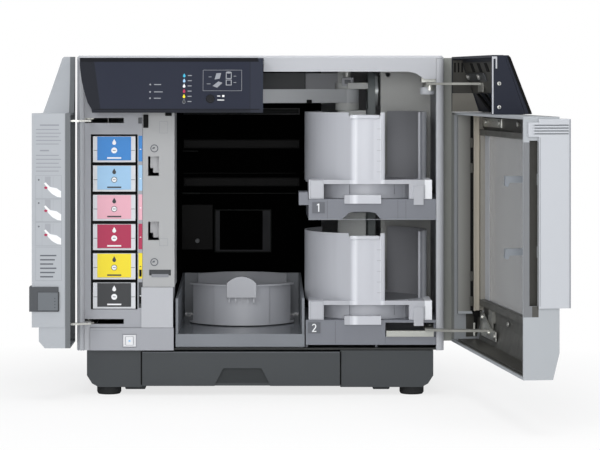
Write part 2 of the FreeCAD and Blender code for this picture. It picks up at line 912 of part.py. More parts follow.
def make_fan_rotor():
    # Hub with seven pitched blades; it turns on the frame's short stub.
    rear = rear_y - size.panel_wall - gap - 3 - gap
    hub = ring("fan_hub", fan_x, rear - 14, fan_z, 9.5, 2 + size.pin_play, 14, "+Y")
    blades = []
    for number in range(7):
        blade = block("fan_blade_%d" % number, -0.9, 0.9, -6, 6, 8.5, fan_radius)
        pitch = FreeCAD.Rotation(FreeCAD.Vector(0, 0, 1), 34)
        turn = FreeCAD.Rotation(FreeCAD.Vector(0, 1, 0), 360.0 * number / 7)
        whole = turn * pitch
        corner = whole.multVec(FreeCAD.Vector(-0.9, -6, 8.5))
        blade.Placement = FreeCAD.Placement(corner, whole)
        bind(blade, "Placement.Base.x", fan_x + formula(corner.x))
        bind(blade, "Placement.Base.y", rear - 7 + formula(corner.y))
        bind(blade, "Placement.Base.z", fan_z + formula(corner.z))
        blades.append(blade)
    return fuse("fan_rotor", hub, *blades)


def make_inlets():
    # Mains inlet and data socket set into the rear panel's cut-outs.
    front = rear_y - 16
    inlet = Piece("mains_inlet")
    inlet.pad("XZ", [rectangle(-149.6, -119.4, 80.4, 107.6)], front, rear_y + 0.8)
    inlet.pocket("XZ", [rectangle(-146, -123, 84, 104)], front + 3, rear_y + 2)
    pins = [rectangle(-141, -139, 92, 96), rectangle(-136, -134, 96, 100), rectangle(-131, -129, 92, 96)]
    inlet.pad("XZ", pins, front + 2.5, rear_y - 2)
    data = Piece("data_socket")
    data.pad("XZ", [rectangle(-99.6, -86.4, 88.4, 99.6)], front, rear_y + 0.6)
    data.pocket("XZ", [rectangle(-97.4, -88.6, 90.4, 97.8)], front + 2, rear_y + 2)
    data.pad("XZ", [rectangle(-95, -91, 92.6, 95.4)], front + 1, rear_y - 1.5)
    return inlet.body, data.body


place_fixed(make_power_supply(), "power_supply")
place_fixed(make_main_board(), "main_board")
place_fixed(make_fan_frame(), "fan_frame")
place_fixed(make_fan_rotor(), "fan_rotor")
mains_inlet, data_socket = make_inlets()
place_fixed(fuse("rear_sockets", mains_inlet, data_socket), "rear_sockets")


# ---- Arm tower, lift drive, transfer arm -------------------------------------
drum_left = 118.2
drum_width = 11.3
drum_radius = 20.0
drum_y = 188.0
pulley_z = 85.0
belt_thick = 1.2
belt_width = 8.0
axle_radius = 3.0
tower_left = 86.6
tower_right = 101.0
column_front = 131.5
plate_left_edge = 131.0
plate_front = 148.0
tower_top = size.cabinet_top - size.tower_drop
drum_z = tower_top - 31
arm_low = size.cabinet_top - size.arm_drop
arm_top = arm_low + size.arm_thick
hub_radius = 13.0
grip_radius = 16.0
carriage_low = arm_low - 8
carriage_top = arm_top + 7


def place_swung(item, node, x, y, turn):
    # Places a sub-part drawn about its own pivot, turned about the vertical.
    item.Label = node
    item.Placement = FreeCAD.Placement(FreeCAD.Vector(), FreeCAD.Rotation(FreeCAD.Vector(0, 0, 1), turn))
    bind(item, "Placement.Base.x", size.origin_x + x)
    bind(item, "Placement.Base.y", size.origin_y + y)
    subparts.append(item)


def make_arm_tower():
    # Sheet column, side plate and guide bar on one foot plate.
    foot_top = floor_z + 2
    rear = wall_front - gap
    inner = panel_inner - gap
    foot = block("tower_foot", tower_left, inner, column_front, rear, floor_z, foot_top)
    bar = block("tower_bar", tower_left, tower_right, rear - 8, rear, foot_top, tower_top)
    column = block("tower_column", tower_left, 114, column_front, column_front + 2.5, foot_top, arm_low - 8)
    plate = block("tower_plate", plate_left_edge, inner, plate_front, plate_front + 2, foot_top, tower_top)
    hole = rod("tower_plate_hole", plate_left_edge + 8, plate_front - 1, tower_top - 13, 2.6, 4, "+Y")
    head = block("tower_head", tower_left, tower_right, size.arm_y - 8, rear, tower_top - 3.5, tower_top)
    edge = plate_left_edge
    cheek = block("drum_cheek", edge, edge + 2.5, plate_front + 2, rear, drum_z - 17, drum_z + 17)
    axle = rod("drum_axle", drum_left, drum_y, drum_z, axle_radius, plate_left_edge - drum_left + 1, "+X")
    solid_plate = cut("tower_plate_holed", plate, hole)
    return fuse("arm_tower", foot, bar, column, solid_plate, head, cheek, axle)


def make_guide_rod():
    low = floor_z + 2 + gap
    return rod("guide_rod", size.arm_x, size.arm_y, low, size.rod_radius, tower_top - 3.5 - gap - low)


def make_lift_wheel(name, z):
    bore = axle_radius + size.pin_play
    wheel = ring(name + "_rim", drum_left, drum_y, z, drum_radius, bore, drum_width, "+X")
    outer = drum_radius + 1
    groove = ring(name + "_groove", drum_left + 9, drum_y, z, outer, drum_radius - 1.6, drum_width, "+X")
    return cut(name, wheel, groove)


def make_belt():
    # Flat belt round both wheels: an outer loop less an inner one.
    loops = []
    for name, radius, start, width in (
        ("outer", drum_radius + gap + belt_thick, drum_left, belt_width),
        ("inner", drum_radius + gap, drum_left - 1, belt_width + 2),
    ):
        upper = rod("belt_%s_upper" % name, start, drum_y, drum_z, radius, width, "+X")
        lower = rod("belt_%s_lower" % name, start, drum_y, pulley_z, radius, width, "+X")
        front = drum_y - radius
        run = block("belt_%s_run" % name, start, start + width, front, drum_y + radius, pulley_z, drum_z)
        loops.append(fuse("belt_" + name, upper, lower, run))
    return cut("lift_belt", loops[0], loops[1])


def make_lift_motor():
    can = rod("motor_can", plate_left_edge + 0.6, drum_y, pulley_z, 17, 36, "+X")
    shaft = rod("motor_shaft", drum_left, drum_y, pulley_z, axle_radius, 16, "+X")
    low = floor_z + 2 + gap
    left = plate_left_edge + 3
    foot = block("motor_foot", left, left + 30, drum_y - 12, drum_y + 12, low, pulley_z - 10)
    return fuse("lift_motor", can, shaft, foot)


def make_arm_carriage():
    # Two rings hold the arm's hub; a back plate joins them and a lug meets the belt.
    bore = size.rod_radius + size.pin_play
    x = size.arm_x
    y = size.arm_y
    back = y + hub_radius + 0.5
    lower = rod("carriage_lower", x, y, carriage_low, hub_radius, arm_low - gap - carriage_low)
    upper = rod("carriage_upper", x, y, arm_top + gap, hub_radius, carriage_top - arm_top - gap)
    spine = block("carriage_spine", x - 10, x + 10, back, back + 3.5, carriage_low, carriage_top)
    lower_web = block("carriage_lower_web", x - 10, x + 10, y, back + 1, carriage_low, arm_low - gap)
    upper_web = block("carriage_upper_web", x - 10, x + 10, y, back + 1, arm_top + gap, carriage_top)
    lug = block("carriage_lug", x, drum_left - gap, drum_y - 25, y + 6, arm_top + gap, carriage_top)
    solid = fuse("carriage_solid", lower, upper, spine, lower_web, upper_web, lug)
    hole = rod("carriage_bore", x, y, carriage_low - 1, bore, carriage_top - carriage_low + 2)
    return cut("arm_carriage", solid, hole)


arm_run_x = (size.dish_x - size.arm_x).value
arm_run_y = (size.dish_y - size.arm_y).value
arm_reach = math.hypot(arm_run_x, arm_run_y)
arm_turn = math.degrees(math.atan2(arm_run_y, arm_run_x))


def make_arm():
    # Drawn along +X from its pivot: hub, tapered channel and gripper head.
    arm = Piece("transfer_arm")
    half_root = 12.0
    half_tip = 13.5
    beam = [(0, -half_root), (arm_reach, -half_tip), (arm_reach, half_tip), (0, half_root)]
    arm.pad("XY", [beam], arm_low, arm_top)
    arm.pad("XY", [(0, 0, hub_radius)], arm_low, arm_top)
    arm.pad("XY", [(arm_reach, 0, grip_radius)], arm_low, arm_top)
    arm.pad("XY", [(arm_reach, 0, 7.2)], arm_low - 5.4, arm_low)
    channel = [(hub_radius + 3, -9.6), (arm_reach - 20, -11), (arm_reach - 20, 11), (hub_radius + 3, 9.6)]
    arm.pocket("XY", [channel], arm_low + 2.5, arm_top + 1)
    arm.pocket("XY", [(0, 0, size.rod_radius + size.pin_play)], arm_low - 1, arm_top + 1)
    arm.pocket("XY", [(arm_reach, 0, 4 + size.pin_play)], arm_low - 7, arm_top + 1)
    for number in range(3):
        turn = math.radians(90 + 120 * number)
        x = arm_reach + 7.2 * math.cos(turn)
        y = 7.2 * math.sin(turn)
        arm.pocket("XY", [(x, y, 1.6)], arm_low - 7, arm_low - 0.6)
    return arm.body


def make_gripper():
    # Plunger that spreads the claws; its head rests on the arm.
    plunger = rod("plunger_stem", arm_reach, 0, arm_low - 5, 4, arm_top + gap - arm_low + 5.5)
    head = rod("plunger_head", arm_reach, 0, arm_top + gap, 7, 3.5)
    return fuse("gripper_plunger", plunger, head)


place_fixed(make_arm_tower(), "arm_tower")
place_fixed(make_guide_rod(), "guide_rod")
place_fixed(make_lift_wheel("lift_drum", drum_z), "lift_drum")
place_fixed(make_lift_wheel("motor_pulley", pulley_z), "motor_pulley")
place_fixed(make_belt(), "lift_belt")
place_fixed(make_lift_motor(), "lift_motor")
place_fixed(make_arm_carriage(), "arm_carriage")
place_swung(make_arm(), "transfer_arm", size.arm_x, size.arm_y, arm_turn)
place_swung(make_gripper(), "gripper_plunger", size.arm_x, size.arm_y, arm_turn)


# ---- Shelves and stackers ----------------------------------------------------
shelf_left = 49.4
shelf_front = 1.3
shelf_rear = column_front - gap
flange_left = size.half_width - size.frame_flange
shelf_skin = 2.5
hinge_window_left = 128.0
hinge_window_low = 60.0


def shelf_plan(left):
    # The right end steps in at the front to pass the cabinet's flange.
    right = panel_inner - gap
    return [
        (left, shelf_front),
        (flange_left - gap, shelf_front),
        (flange_left - gap, 7.4),
        (right, 7.4),
        (right, shelf_rear),
        (left, shelf_rear),
    ]


def make_shelf_one():
    low = size.shelf_one_bottom
    top = size.shelf_one_top
    shelf = Piece("shelf_1_body")
    shelf.pad("XY", [shelf_plan(shelf_left)], low, top)
    inside = rectangle(shelf_left + shelf_skin, flange_left - 4, shelf_front + 3, shelf_rear - shelf_skin)
    shelf.pocket("XY", [inside], low - 1, top - shelf_skin)
    arch = [
        (82, low - 1),
        (86.5, low + 3.4),
        (91, low + 7.4),
        (96, low + 8.4),
        (112, low + 8.4),
        (118, low + 7),
        (122, low + 2),
        (128, low - 1),
    ]
    shelf.pocket("XZ", [arch], 0, shelf_front + 4)
    shelf.pad("XZ", [rectangle(52.8, 66.5, low + 6.9, top - 2.9)], shelf_front - 0.6, shelf_front)
    lug_foot = block("shelf_lug_foot", 39.5, shelf_left + 1, 3, 36, top - 6, top - 0.4)
    lug = block("shelf_lug", 39.5, shelf_left - 0.5, 3, 36, top - 6, top + 7)
    return fuse("shelf_1", shelf.body, lug_foot, lug)


def make_shelf_two():
    low = 51.8
    top = size.shelf_two_top
    left = size.tray_right + 1.3
    shelf = Piece("shelf_2")
    shelf.pad("XY", [shelf_plan(left)], low, top)
    step_x = flange_left - gap - 2
    wide = panel_inner - gap - 2
    inside = [
        (left + shelf_skin, shelf_front + 3),
        (step_x, shelf_front + 3),
        (step_x, 9.4),
        (wide, 9.4),
        (wide, shelf_rear - shelf_skin),
        (left + shelf_skin, shelf_rear - shelf_skin),
    ]
    shelf.pocket("XY", [inside], low - 1, top - shelf_skin)
    window = rectangle(hinge_window_left, flange_left + 1, hinge_window_low, top - shelf_skin)
    shelf.pocket("XZ", [window], 0, shelf_front + 4)
    shelf.pad("XZ", [rectangle(48.4, 61.2, top - 13.6, top - 2)], shelf_front - 0.6, shelf_front)
    shelf.pad("YZ", [rectangle(12, 120, floor_z, low + 4)], left, left + shelf_skin)
    shelf.pad("YZ", [rectangle(12, 120, floor_z, low + 4)], 118, 120.5)
    shelf.pad("XY", [rectangle(left + 1, 121, 60, 62.5)], floor_z, top - shelf_skin)
    return shelf.body


def make_stacker(name, low):
    # Open drum on a base with two front blocks; its front right quarter is open.
    x = size.stack_x
    y = size.stack_y
    radius = size.stack_radius
    front = y - radius - 0.1
    top = low + size.stack_base_height
    rim = top - 4.3
    left = x - radius + 2.9
    right = x + radius + 1.2
    floor = top - 2.2
    drum = rod(name + "_drum", x, y, low, radius - 6, size.stack_base_height)
    under = rod(name + "_under", x, y, low - 1, radius - 8.5, floor - 2.5 - low + 1)
    collar = rod(name + "_collar", x, y, rim, radius - 1, 4.3)
    left_block = block(name + "_left_block", left, left + 15.5, front, y - 20, low, top)
    right_block = block(name + "_right_block", right - 23.5, right, front, y - 12, low, top)
    bar = block(name + "_bar", left + 10, right - 15, front, front + 5, rim, top)
    tongue = block(name + "_tongue", x - 24.6, x + 12.9, -1.2, 0.9, low - 4.7, low + 4)
    root = block(name + "_tongue_root", x - 24.6, x + 12.9, 0, y - radius + 20, low, low + 4)
    tab = block(name + "_tab", x + 46.4, x + 56.4, -0.4, 0.9, low - 6, low + 13)
    tab_root = block(name + "_tab_root", x + 46.4, x + 56.4, 0, front + 3, low, low + 13)
    wall_low = top - 2.5
    wall_top = top + size.stack_wall_height
    tall = wall_top - wall_low
    right_wall = rod(name + "_right_wall", x, y, wall_low, radius, tall, "+Z", -30, 95)
    left_wall = rod(name + "_left_wall", x, y, wall_low, radius, tall, "+Z", 136, 149.4)
    face = Piece(name + "_face")
    flat = [
        (x - 19, y - 61.3),
        (x - 13.6, y - 63.5),
        (x + 13.4, y - 63.9),
        (x + 13.4, y - 60),
        (x - 19, y - 60),
    ]
    face.pad("XY", [flat], wall_low, wall_top)
    skirt = cut(name + "_skirt", drum, under)
    base = fuse(
        name + "_base", skirt, collar, left_block, right_block, bar, tongue, root, tab, tab_root,
        right_wall, left_wall, face.body,
    )
    well = rod(name + "_well", x, y, floor, radius - size.stack_wall, wall_top - low)
    notch = block(name + "_notch", x - 20, x + 12.5, front - 1, y - 50, wall_top - 3.6, wall_top + 1)
    solid = cut(name + "_open", base, well, notch)
    hub = ring(name + "_hub", x, y, floor - 1, 7.2, 4.4, 8)
    return fuse(name, solid, hub)


tray_low_z = floor_z


def make_tray_three():
    # Deep tray round the lift-out dish: floor, front lip, side and rear walls.
    left = size.tray_left
    right = size.tray_right
    rear = wall_front - 2
    tray = Piece("tray_3")
    wall = 2.5
    profile = [
        (1, 50),
        (1, size.tray_floor + 1.8),
        (4, size.tray_floor + 1.8),
        (4, size.tray_floor + 38),
        (rear, size.tray_floor + 46.5),
        (rear, tray_low_z),
        (10, tray_low_z),
        (10, 50),
    ]
    tray.pad("YZ", [profile], left, right)
    inner = [(4, size.tray_floor), (rear - wall, size.tray_floor), (rear - wall, size.tray_floor + 60),
             (4, size.tray_floor + 60)]
    tray.pocket("YZ", [inner], left + wall, right - wall)
    under = rectangle(left + wall, right - wall, 12, rear - wall)
    tray.pocket("XY", [under], tray_low_z - 1, size.tray_floor - wall)
    tray.pad("XY", [(size.dish_x, size.dish_y, 9)], size.tray_floor - wall, size.tray_floor + 0.8)
    return tray.body


def make_dish():
    # Lift-out stacker: base disc, front and rear wall arcs, rim and grip.
    x = size.dish_x
    y = size.dish_y
    radius = size.dish_radius
    low = size.tray_floor + 0.8 + gap
    top = low + size.dish_height
    front_half = 57.6
    rear_half = 52.0
    plate = rod("dish_plate", x, y, low, radius, 2)
    front = rod("dish_front", x, y, low, radius, size.dish_height, "+Z", -90 - front_half, 2 * front_half)
    rear = rod("dish_rear", x, y, low, radius, size.dish_height, "+Z", 90 - rear_half, 2 * rear_half)
    rim = rod("dish_rim", x, y, top - 5.5, radius + 4, 2, "+Z", -90 - front_half, 2 * front_half)
    facet = rod("dish_facet", x, y, low, radius + 1.4, size.dish_height - 4, "+Z", -117.5, 55)
    well = rod("dish_well", x, y, low + 2, radius - 2.2, size.dish_height)
    half = radius + 5
    front_top = block("dish_front_top", x - half, x + half, y - radius - 6, y - 20, top - 3.5, top + 1)
    full = cut("dish_shell", fuse("dish_solid", plate, front, rear, rim, facet), well, front_top)
    half = (radius * math.sin(math.radians(front_half))) + 4
    frame = block("dish_width", x - half, x + half, y - radius - 8, y + radius + 1, low - 1, top + 1)
    shell = common("dish_trimmed", full, frame)
    grip_front = y - radius - 7
    grip = block("dish_grip", x - 15.6, x + 15.6, grip_front, y - radius + 2, top - 16.7, top - 2)
    crown = rod("dish_crown", x, grip_front, top - 15, 20.5, 10, "+Y")
    upper = block("dish_crown_box", x - 15.6, x + 15.6, grip_front, y - radius + 2, top - 4, top + 7)
    dome = common("dish_dome", crown, upper)
    teeth = []
    for number in range(5):
        middle = x - 13 + 6.5 * number
        name = "dish_tooth_%d" % number
        left = middle - 0.8
        tooth = block(name, left, left + 1.6, grip_front + 2, y - radius + 2, top - 22.5, top - 16)
        teeth.append(tooth)
    hub = ring("dish_hub", x, y, low + 1, 7.2, 4.4, 8)
    return fuse("stacker_3", shell, grip, dome, hub, *teeth)


def make_drawer():
    # Bottom drawer: front with a grip cut-out, open tray and a round disc well.
    left = size.drawer_left
    right = size.drawer_right
    front = size.base_front - 3
    skin = size.drawer_front_thick
    top = size.base_top - 0.9
    low = size.base_bottom + 1.5
    drawer = Piece("drawer")
    drawer.pad("XZ", [rectangle(left, right, low, top)], front, front + skin)
    grip = [(-47, low - 1), (-47, low + 1), (-38, low + 18.2), (1, low + 18.2), (10, low + 1), (10, low - 1)]
    drawer.pocket("XZ", [grip], front - 1, front + skin - 1.4)
    rear = front + size.drawer_depth
    wall = size.drawer_wall
    drawer.pad("XY", [rectangle(left + 1, right - 1, front + skin, rear)], size.drawer_bottom, top - 1)
    inside = rectangle(left + 1 + wall, right - 1 - wall, front + skin + wall, rear - wall)
    drawer.pocket("XY", [inside], size.drawer_bottom + wall, top + 1)
    well_y = front + skin + wall + 66
    drawer.pad("XY", [(size.dish_x, well_y, 64)], size.drawer_bottom + wall, size.drawer_bottom + 16)
    drawer.pocket("XY", [(size.dish_x, well_y, 61)], size.drawer_bottom + wall, top + 1)
    return drawer.body


place_fixed(make_shelf_one(), "shelf_1")
place_fixed(make_shelf_two(), "shelf_2")
place_fixed(make_stacker("stacker_1", size.shelf_one_top + gap), "stacker_1")
place_fixed(make_stacker("stacker_2", size.shelf_two_top + gap), "stacker_2")
place_fixed(make_tray_three(), "tray_3")
place_fixed(make_dish(), "stacker_3")
place_fixed(make_drawer(), "drawer")


# ---- Hinge brackets and pins --------------------------------------------------
arm_sheet = 2.4
upper_arm_low = size.cabinet_top - 30
lower_arm_low = 67.0
ink_arm_sheet = 2.0
eye_radius = 7.0
ink_eye_radius = 5.0
pin_x = size.half_width - size.cover_pin_inset
pin_y = size.cover_pin_y
ink_x = size.ink_pin_inset - size.half_width
ink_y = size.ink_pin_y


def make_hinge_brackets():
    # Four fixed brackets with their pins: two for each cover.
    pin = size.hinge_pin_radius
    lid_low = size.cabinet_top - 2.5 - gap
    top_high = upper_arm_low + arm_sheet + gap
    upper = block("cover_bracket_top", pin_x - 9, pin_x + 9, pin_y - 7, pin_y + 15, top_high, lid_low)
    upper_pin = rod("cover_pin_top", pin_x, pin_y, upper_arm_low - 6, pin, top_high - upper_arm_low + 7)
    bush = rod("cover_bush", pin_x, pin_y, upper_arm_low - 6, eye_radius + 0.6, 6 - gap)
    plate_low = hinge_window_low + gap
    left = hinge_window_left + 1
    right = flange_left - gap - 2.4
    plate = block("cover_bracket_plate", left, right, -0.6, pin_y + 20, plate_low, plate_low + 2)
    lip = block("cover_bracket_lip", left, right, -0.6, 0.9, plate_low, lower_arm_low - 0.6)
    boss = rod("cover_boss", pin_x, pin_y, plate_low + 1, 4.6, lower_arm_low - gap - plate_low - 1)
    lower_pin = rod("cover_pin_low", pin_x, pin_y, plate_low + 1, pin, lower_arm_low + arm_sheet - plate_low)
    pieces = [upper, upper_pin, bush, plate, lip, boss, lower_pin]
    wall = -panel_inner + gap
    for name, middle, side in (("upper", slot_high, 1), ("lower", slot_low, -1)):
        near_face = middle + (ink_arm_sheet / 2 + gap) * side
        far_face = middle + 5.4 * side
        low, high = (near_face, far_face) if side > 0 else (far_face, near_face)
        pieces.append(block("ink_bracket_" + name, wall, ink_x + 6, 7 + gap, ink_y + 8, low, high))
        start = middle - 2
        pieces.append(rod("ink_pin_" + name, ink_x, ink_y, start - (1 - side), 2, 6))
    return fuse("hinge_brackets", *pieces)


def ribbon(points, half):
    # A band of even width along a bent centre line.
    numbers = [(formula(x).value, formula(y).value) for x, y in points]
    left_side = []
    right_side = []
    last = len(numbers) - 1
    for index, (x, y) in enumerate(points):
        normals = []
        for first in (index - 1, index):
            if 0 <= first < last:
                run_x = numbers[first + 1][0] - numbers[first][0]
                run_y = numbers[first + 1][1] - numbers[first][1]
                span = math.hypot(run_x, run_y)
                normals.append((-run_y / span, run_x / span))
        normal_x = sum(normal[0] for normal in normals) / len(normals)
        normal_y = sum(normal[1] for normal in normals) / len(normals)
        scale = half / (normal_x ** 2 + normal_y ** 2)
        left_side.append((x + normal_x * scale, y + normal_y * scale))
        right_side.append((x - normal_x * scale, y - normal_y * scale))
    return left_side + right_side[::-1]


def make_swan_neck(name, pin_at, points, half, eye, pin_radius, low, sheet):
    # Flat arm cut from sheet: eye at the pin, bent round the cabinet's corner.
    neck = Piece(name)
    neck.pad("XY", [ribbon([pin_at] + points, half)], low, low + sheet)
    neck.pad("XY", [(pin_at[0], pin_at[1], eye)], low, low + sheet)
    neck.pocket("XY", [(pin_at[0], pin_at[1], pin_radius + size.pin_play)], low - 1, low + sheet + 1)
    return neck.body


# ---- Disc cover ----------------------------------------------------------------
cover_skin = size.cover_wall
cover_rear = -size.cover_gap
cover_inside = -size.cover_reach + cover_skin
hook_levels = (229.5, 163.5)
window_left = -88.0
window_right = 168.0
window_low = 96.0
window_high = 266.0
cap_low = size.cover_step + gap


def make_disc_cover():
    # Deep open-backed tray with a window frame, hook plates and stiffening ribs.
    left = size.cover_left
    right = cover_right
    low = size.cover_bottom
    high = size.cover_step
    front = -size.cover_reach
    cover = Piece("disc_cover")
    outline = [(cover_rear, low), (front + 6, low), (front, low + 24.5), (front, high), (cover_rear, high)]
    cover.pad("YZ", [outline], left, right)
    inner = [
        (1, low + cover_skin),
        (front + 6 + cover_skin, low + cover_skin),
        (cover_inside, low + 25),
        (cover_inside, high - cover_skin),
        (1, high - cover_skin),
    ]
    cover.pocket("YZ", [inner], left + cover_skin, right - cover_skin)
    pane = rectangle(window_left, window_right, window_low, window_high)
    cover.pocket("XZ", [pane], front - 1, cover_inside + 1)
    cover.pocket("YZ", [rectangle(front + 20, front + 28, 118, 268)], left - 1, left + cover_skin + 1)
    rim = rectangle(window_left - 6, window_right + 5.4, window_low - 6, window_high + 6)
    cover.pad("XZ", [rim, pane], cover_inside, cover_inside + 5)
    rib = rectangle(right - 14, right - 10, low + 30, high - cover_skin)
    cover.pad("XZ", [rib], cover_inside, cover_rear - 4)
    for level in hook_levels:
        hook = [
            (front + 14, level),
            (8, level),
            (9.6, level - 3.9),
            (12.6, level - 2.4),
            (12, level + 6),
            (front + 14, level + 6),
        ]
        cover.pad("YZ", [hook], left + 9, left + 14)
        root = rectangle(front + 13, front + 19, level - 2, level + 8)
        cover.pad("YZ", [root], left + cover_skin, left + 9)
    return cover.body


def make_cover_cap():
    low = cap_low
    top = cap_top
    left = size.cap_left
    right = cover_right
    foot = -size.cover_reach + 1
    head = -size.cap_top_reach
    cap = Piece("disc_cover_cap")
    outline = [(cover_rear, low), (foot, low), (head, top - 2), (head + 2, top), (cover_rear, top)]
    cap.pad("YZ", [outline], left, right)
    ceiling = top - cover_skin
    inner = [(1, low - 1), (foot + 2.8, low - 1), (head + 2.7, top - 4), (head + 4, ceiling), (1, ceiling)]
    cap.pocket("YZ", [inner], left + cover_skin, right - cover_skin)
    return cap.body


def cap_inner_y(level):
    # Where the cap's sloping inner face stands at one height.
    foot = -size.cover_reach + 3.8
    head = -size.cap_top_reach + 2.7
    low = cap_low - 1
    return foot + (level - low) * (head - foot) / (cap_top - 4 - low)


def make_cover_window():
    pane = Piece("disc_cover_window")
    area = rectangle(window_left + gap, window_right - gap, window_low + gap, window_high - gap)
    pane.pad("XZ", [area], -size.cover_reach + 0.4, -size.cover_reach + 2.6)
    return pane.body


def make_cover_handle():
    # Tall grip strip round the free edge, with four finger grooves at its top.
    edge = size.cover_left - gap
    outer = edge - 1.8
    face = -size.cover_reach - gap
    proud = face - 9.7
    handle = Piece("disc_cover_handle")
    plan = [
        (outer, proud),
        (edge + 17, proud),
        (edge + 20, face),
        (edge, face),
        (edge, face + 20),
        (outer, face + 20),
    ]
    handle.pad("XY", [plan], 116, 287.6)
    handle.pad("YZ", [rectangle(face + 19, cover_rear - 4.2, 271.5, 284.5)], outer, edge)
    grooves = []
    for number in range(4):
        level = 273.6 + 2.6 * number
        grooves.append(rectangle(proud + 2, cover_rear - 8, level, level + 1.1))
    handle.pocket("YZ", grooves, outer - 1, outer + 0.8)
    return handle.body


def make_cover_arms():
    # Upper and lower swan-neck arms, each with a foot on the cover's inside.
    pin_at = (pin_x, pin_y)
    slope_y = cap_inner_y(upper_arm_low + 2) + gap
    upper_points = [(pin_x - 30, pin_y + 5), (pin_x - 40.2, pin_y - 15.1), (pin_x - 43.6, slope_y + 1)]
    pin = size.hinge_pin_radius
    upper = make_swan_neck(
        "upper_arm", pin_at, upper_points, 4.5, eye_radius, pin, upper_arm_low, arm_sheet
    )
    low = upper_arm_low - 7
    foot = block("upper_arm_foot", pin_x - 56, pin_x - 36, slope_y, slope_y + 1.6, low, low + 9)
    lower_points = [(pin_x - 30, pin_y + 7), (pin_x - 40.2, pin_y - 15.1), (pin_x - 45.6, -30.4)]
    lower = make_swan_neck(
        "lower_arm", pin_at, lower_points, 4, eye_radius, pin, lower_arm_low, arm_sheet
    )
    web = block("lower_arm_web", pin_x - 55, pin_x - 38, -31.0, -29.4, lower_arm_low, lower_arm_low + 16)
    low = lower_arm_low + 9.4
    pad = block("lower_arm_pad", pin_x - 55, pin_x - 38, cover_inside + gap, -30, low, low + 12.6)
    return fuse("disc_cover_arms", upper, foot, lower, web, pad)


def place_on_cover(item, node):
    place_turned(item, node, pin_x, pin_y, size.cover_open, 1)


place_fixed(make_hinge_brackets(), "hinge_brackets")
place_on_cover(make_disc_cover(), "disc_cover")
place_on_cover(make_cover_cap(), "disc_cover_cap")
place_on_cover(make_cover_window(), "disc_cover_window")
place_on_cover(make_cover_handle(), "disc_cover_handle")
place_on_cover(make_cover_arms(), "disc_cover_arms")


# ---- Ink cover -------------------------------------------------------------------
ink_edge = size.ink_cover_right - 3.3
ink_front = -34.0


def make_ink_cover():
    # Narrow open-backed door; its top follows the control panel's swept end.
    left = -cover_right
    right = ink_edge
    top = cap_top
    step = size.cover_step - 0.2
    low = 53.0
    cover = Piece("ink_cover")
    outline = [
        (cover_rear, low),
        (ink_front + 6, low),
        (ink_front, low + 7),
        (ink_front, step),
        (-size.cap_top_reach, top - 2),
        (-size.cap_top_reach + 2, top),
        (cover_rear, top),
    ]
    cover.pad("YZ", [outline], left, right)
    hood = size.panel_left
    away = [
        (right + 1, step),
        (hood + 12.1, step),
        (hood + 8, size.panel_bottom + 10),
        (hood + 4.4, size.panel_bottom + 20.6),
        (hood + 1.4, size.panel_bottom + 32),
        (hood - 0.6, size.panel_bottom + 44),
        (hood - 1.6, top + 1),
        (right + 1, top + 1),
    ]
    cover.pocket("XZ", [away], ink_front - 2, 1)
    inner = [
        (1, low + cover_skin),
        (ink_front + 6 + cover_skin, low + cover_skin),
        (ink_front + cover_skin, low + 8),
        (ink_front + cover_skin, step - cover_skin),
        (1, step - cover_skin),
    ]
    cover.pocket("YZ", [inner], left + cover_skin, right - cover_skin)
    ridge = rectangle(right - 15, right + 0.8, ink_front - 7, ink_front + 0.4)
    cover.pad("XY", [ridge], 74, step)
    cover.pad("YZ", [rectangle(ink_front - 7, -8, 74, step)], right - 0.4, right + 0.8)
    return cover.body


def make_ink_latch():
    # Finger latch that wraps the front corner of the label strip.
    right = ink_edge + 0.8
    face = ink_front - 7 - gap
    latch = Piece("ink_cover_latch")
    plan = [
        (right - 16, face),
        (right + gap, face),
        (right + gap, -14),
        (right + 1.2, -14),
        (right + 1.2, face - 2.2),
        (right - 16, face - 2.2),
    ]
    latch.pad("XY", [plan], 90, 115)
    latch.pocket("YZ", [rectangle(face + 7, face + 18, 97, 108)], right + 0.8, right + 2)
    return latch.body


def make_ink_arms():
    pin_at = (ink_x, ink_y)
    points = [(ink_x + 30, ink_y + 2), (ink_x + 33.5, ink_y - 8), (ink_x + 33.5, ink_front + cover_skin + 2)]
    pieces = []
    for name, middle, rise in (("upper", slot_high, -1), ("lower", slot_low, 1)):
        low = middle - ink_arm_sheet / 2
        neck = make_swan_neck(
            "ink_arm_" + name, pin_at, points, 3, ink_eye_radius, 2, low, ink_arm_sheet
        )
        pieces.append(neck)
        foot_low = low if rise > 0 else low - 10
        front = ink_front + cover_skin + gap
        foot_name = "ink_arm_foot_" + name
        foot = block(foot_name, ink_x + 26, ink_x + 42, front, front + 2, foot_low, foot_low + 12)
        pieces.append(foot)
    return fuse("ink_cover_arms", *pieces)


def place_on_ink_cover(item, node):
    place_turned(item, node, ink_x, ink_y, size.ink_open, -1)


place_on_ink_cover(make_ink_cover(), "ink_cover")
place_on_ink_cover(make_ink_latch(), "ink_cover_latch")
place_on_ink_cover(make_ink_arms(), "ink_cover_arms")


# Check every object, then write one file per sub-part.
doc.recompute()
troubles = []
for item in doc.Objects:
    if "Invalid" in item.State or "Error" in item.State:
        troubles.append("%s: %s" % (item.Name, item.State))
for item in subparts:
    if item.Shape.isNull() or not item.Shape.isValid() or not item.Shape.Solids:
        troubles.append("%s: bad shape" % item.Label)
if troubles:
    raise RuntimeError("; ".join(troubles))

os.makedirs("parts", exist_ok=True)
for item in subparts:
    item.Shape.exportStep("parts/%s.step" % item.Label)
print("sub-parts:", len(subparts))
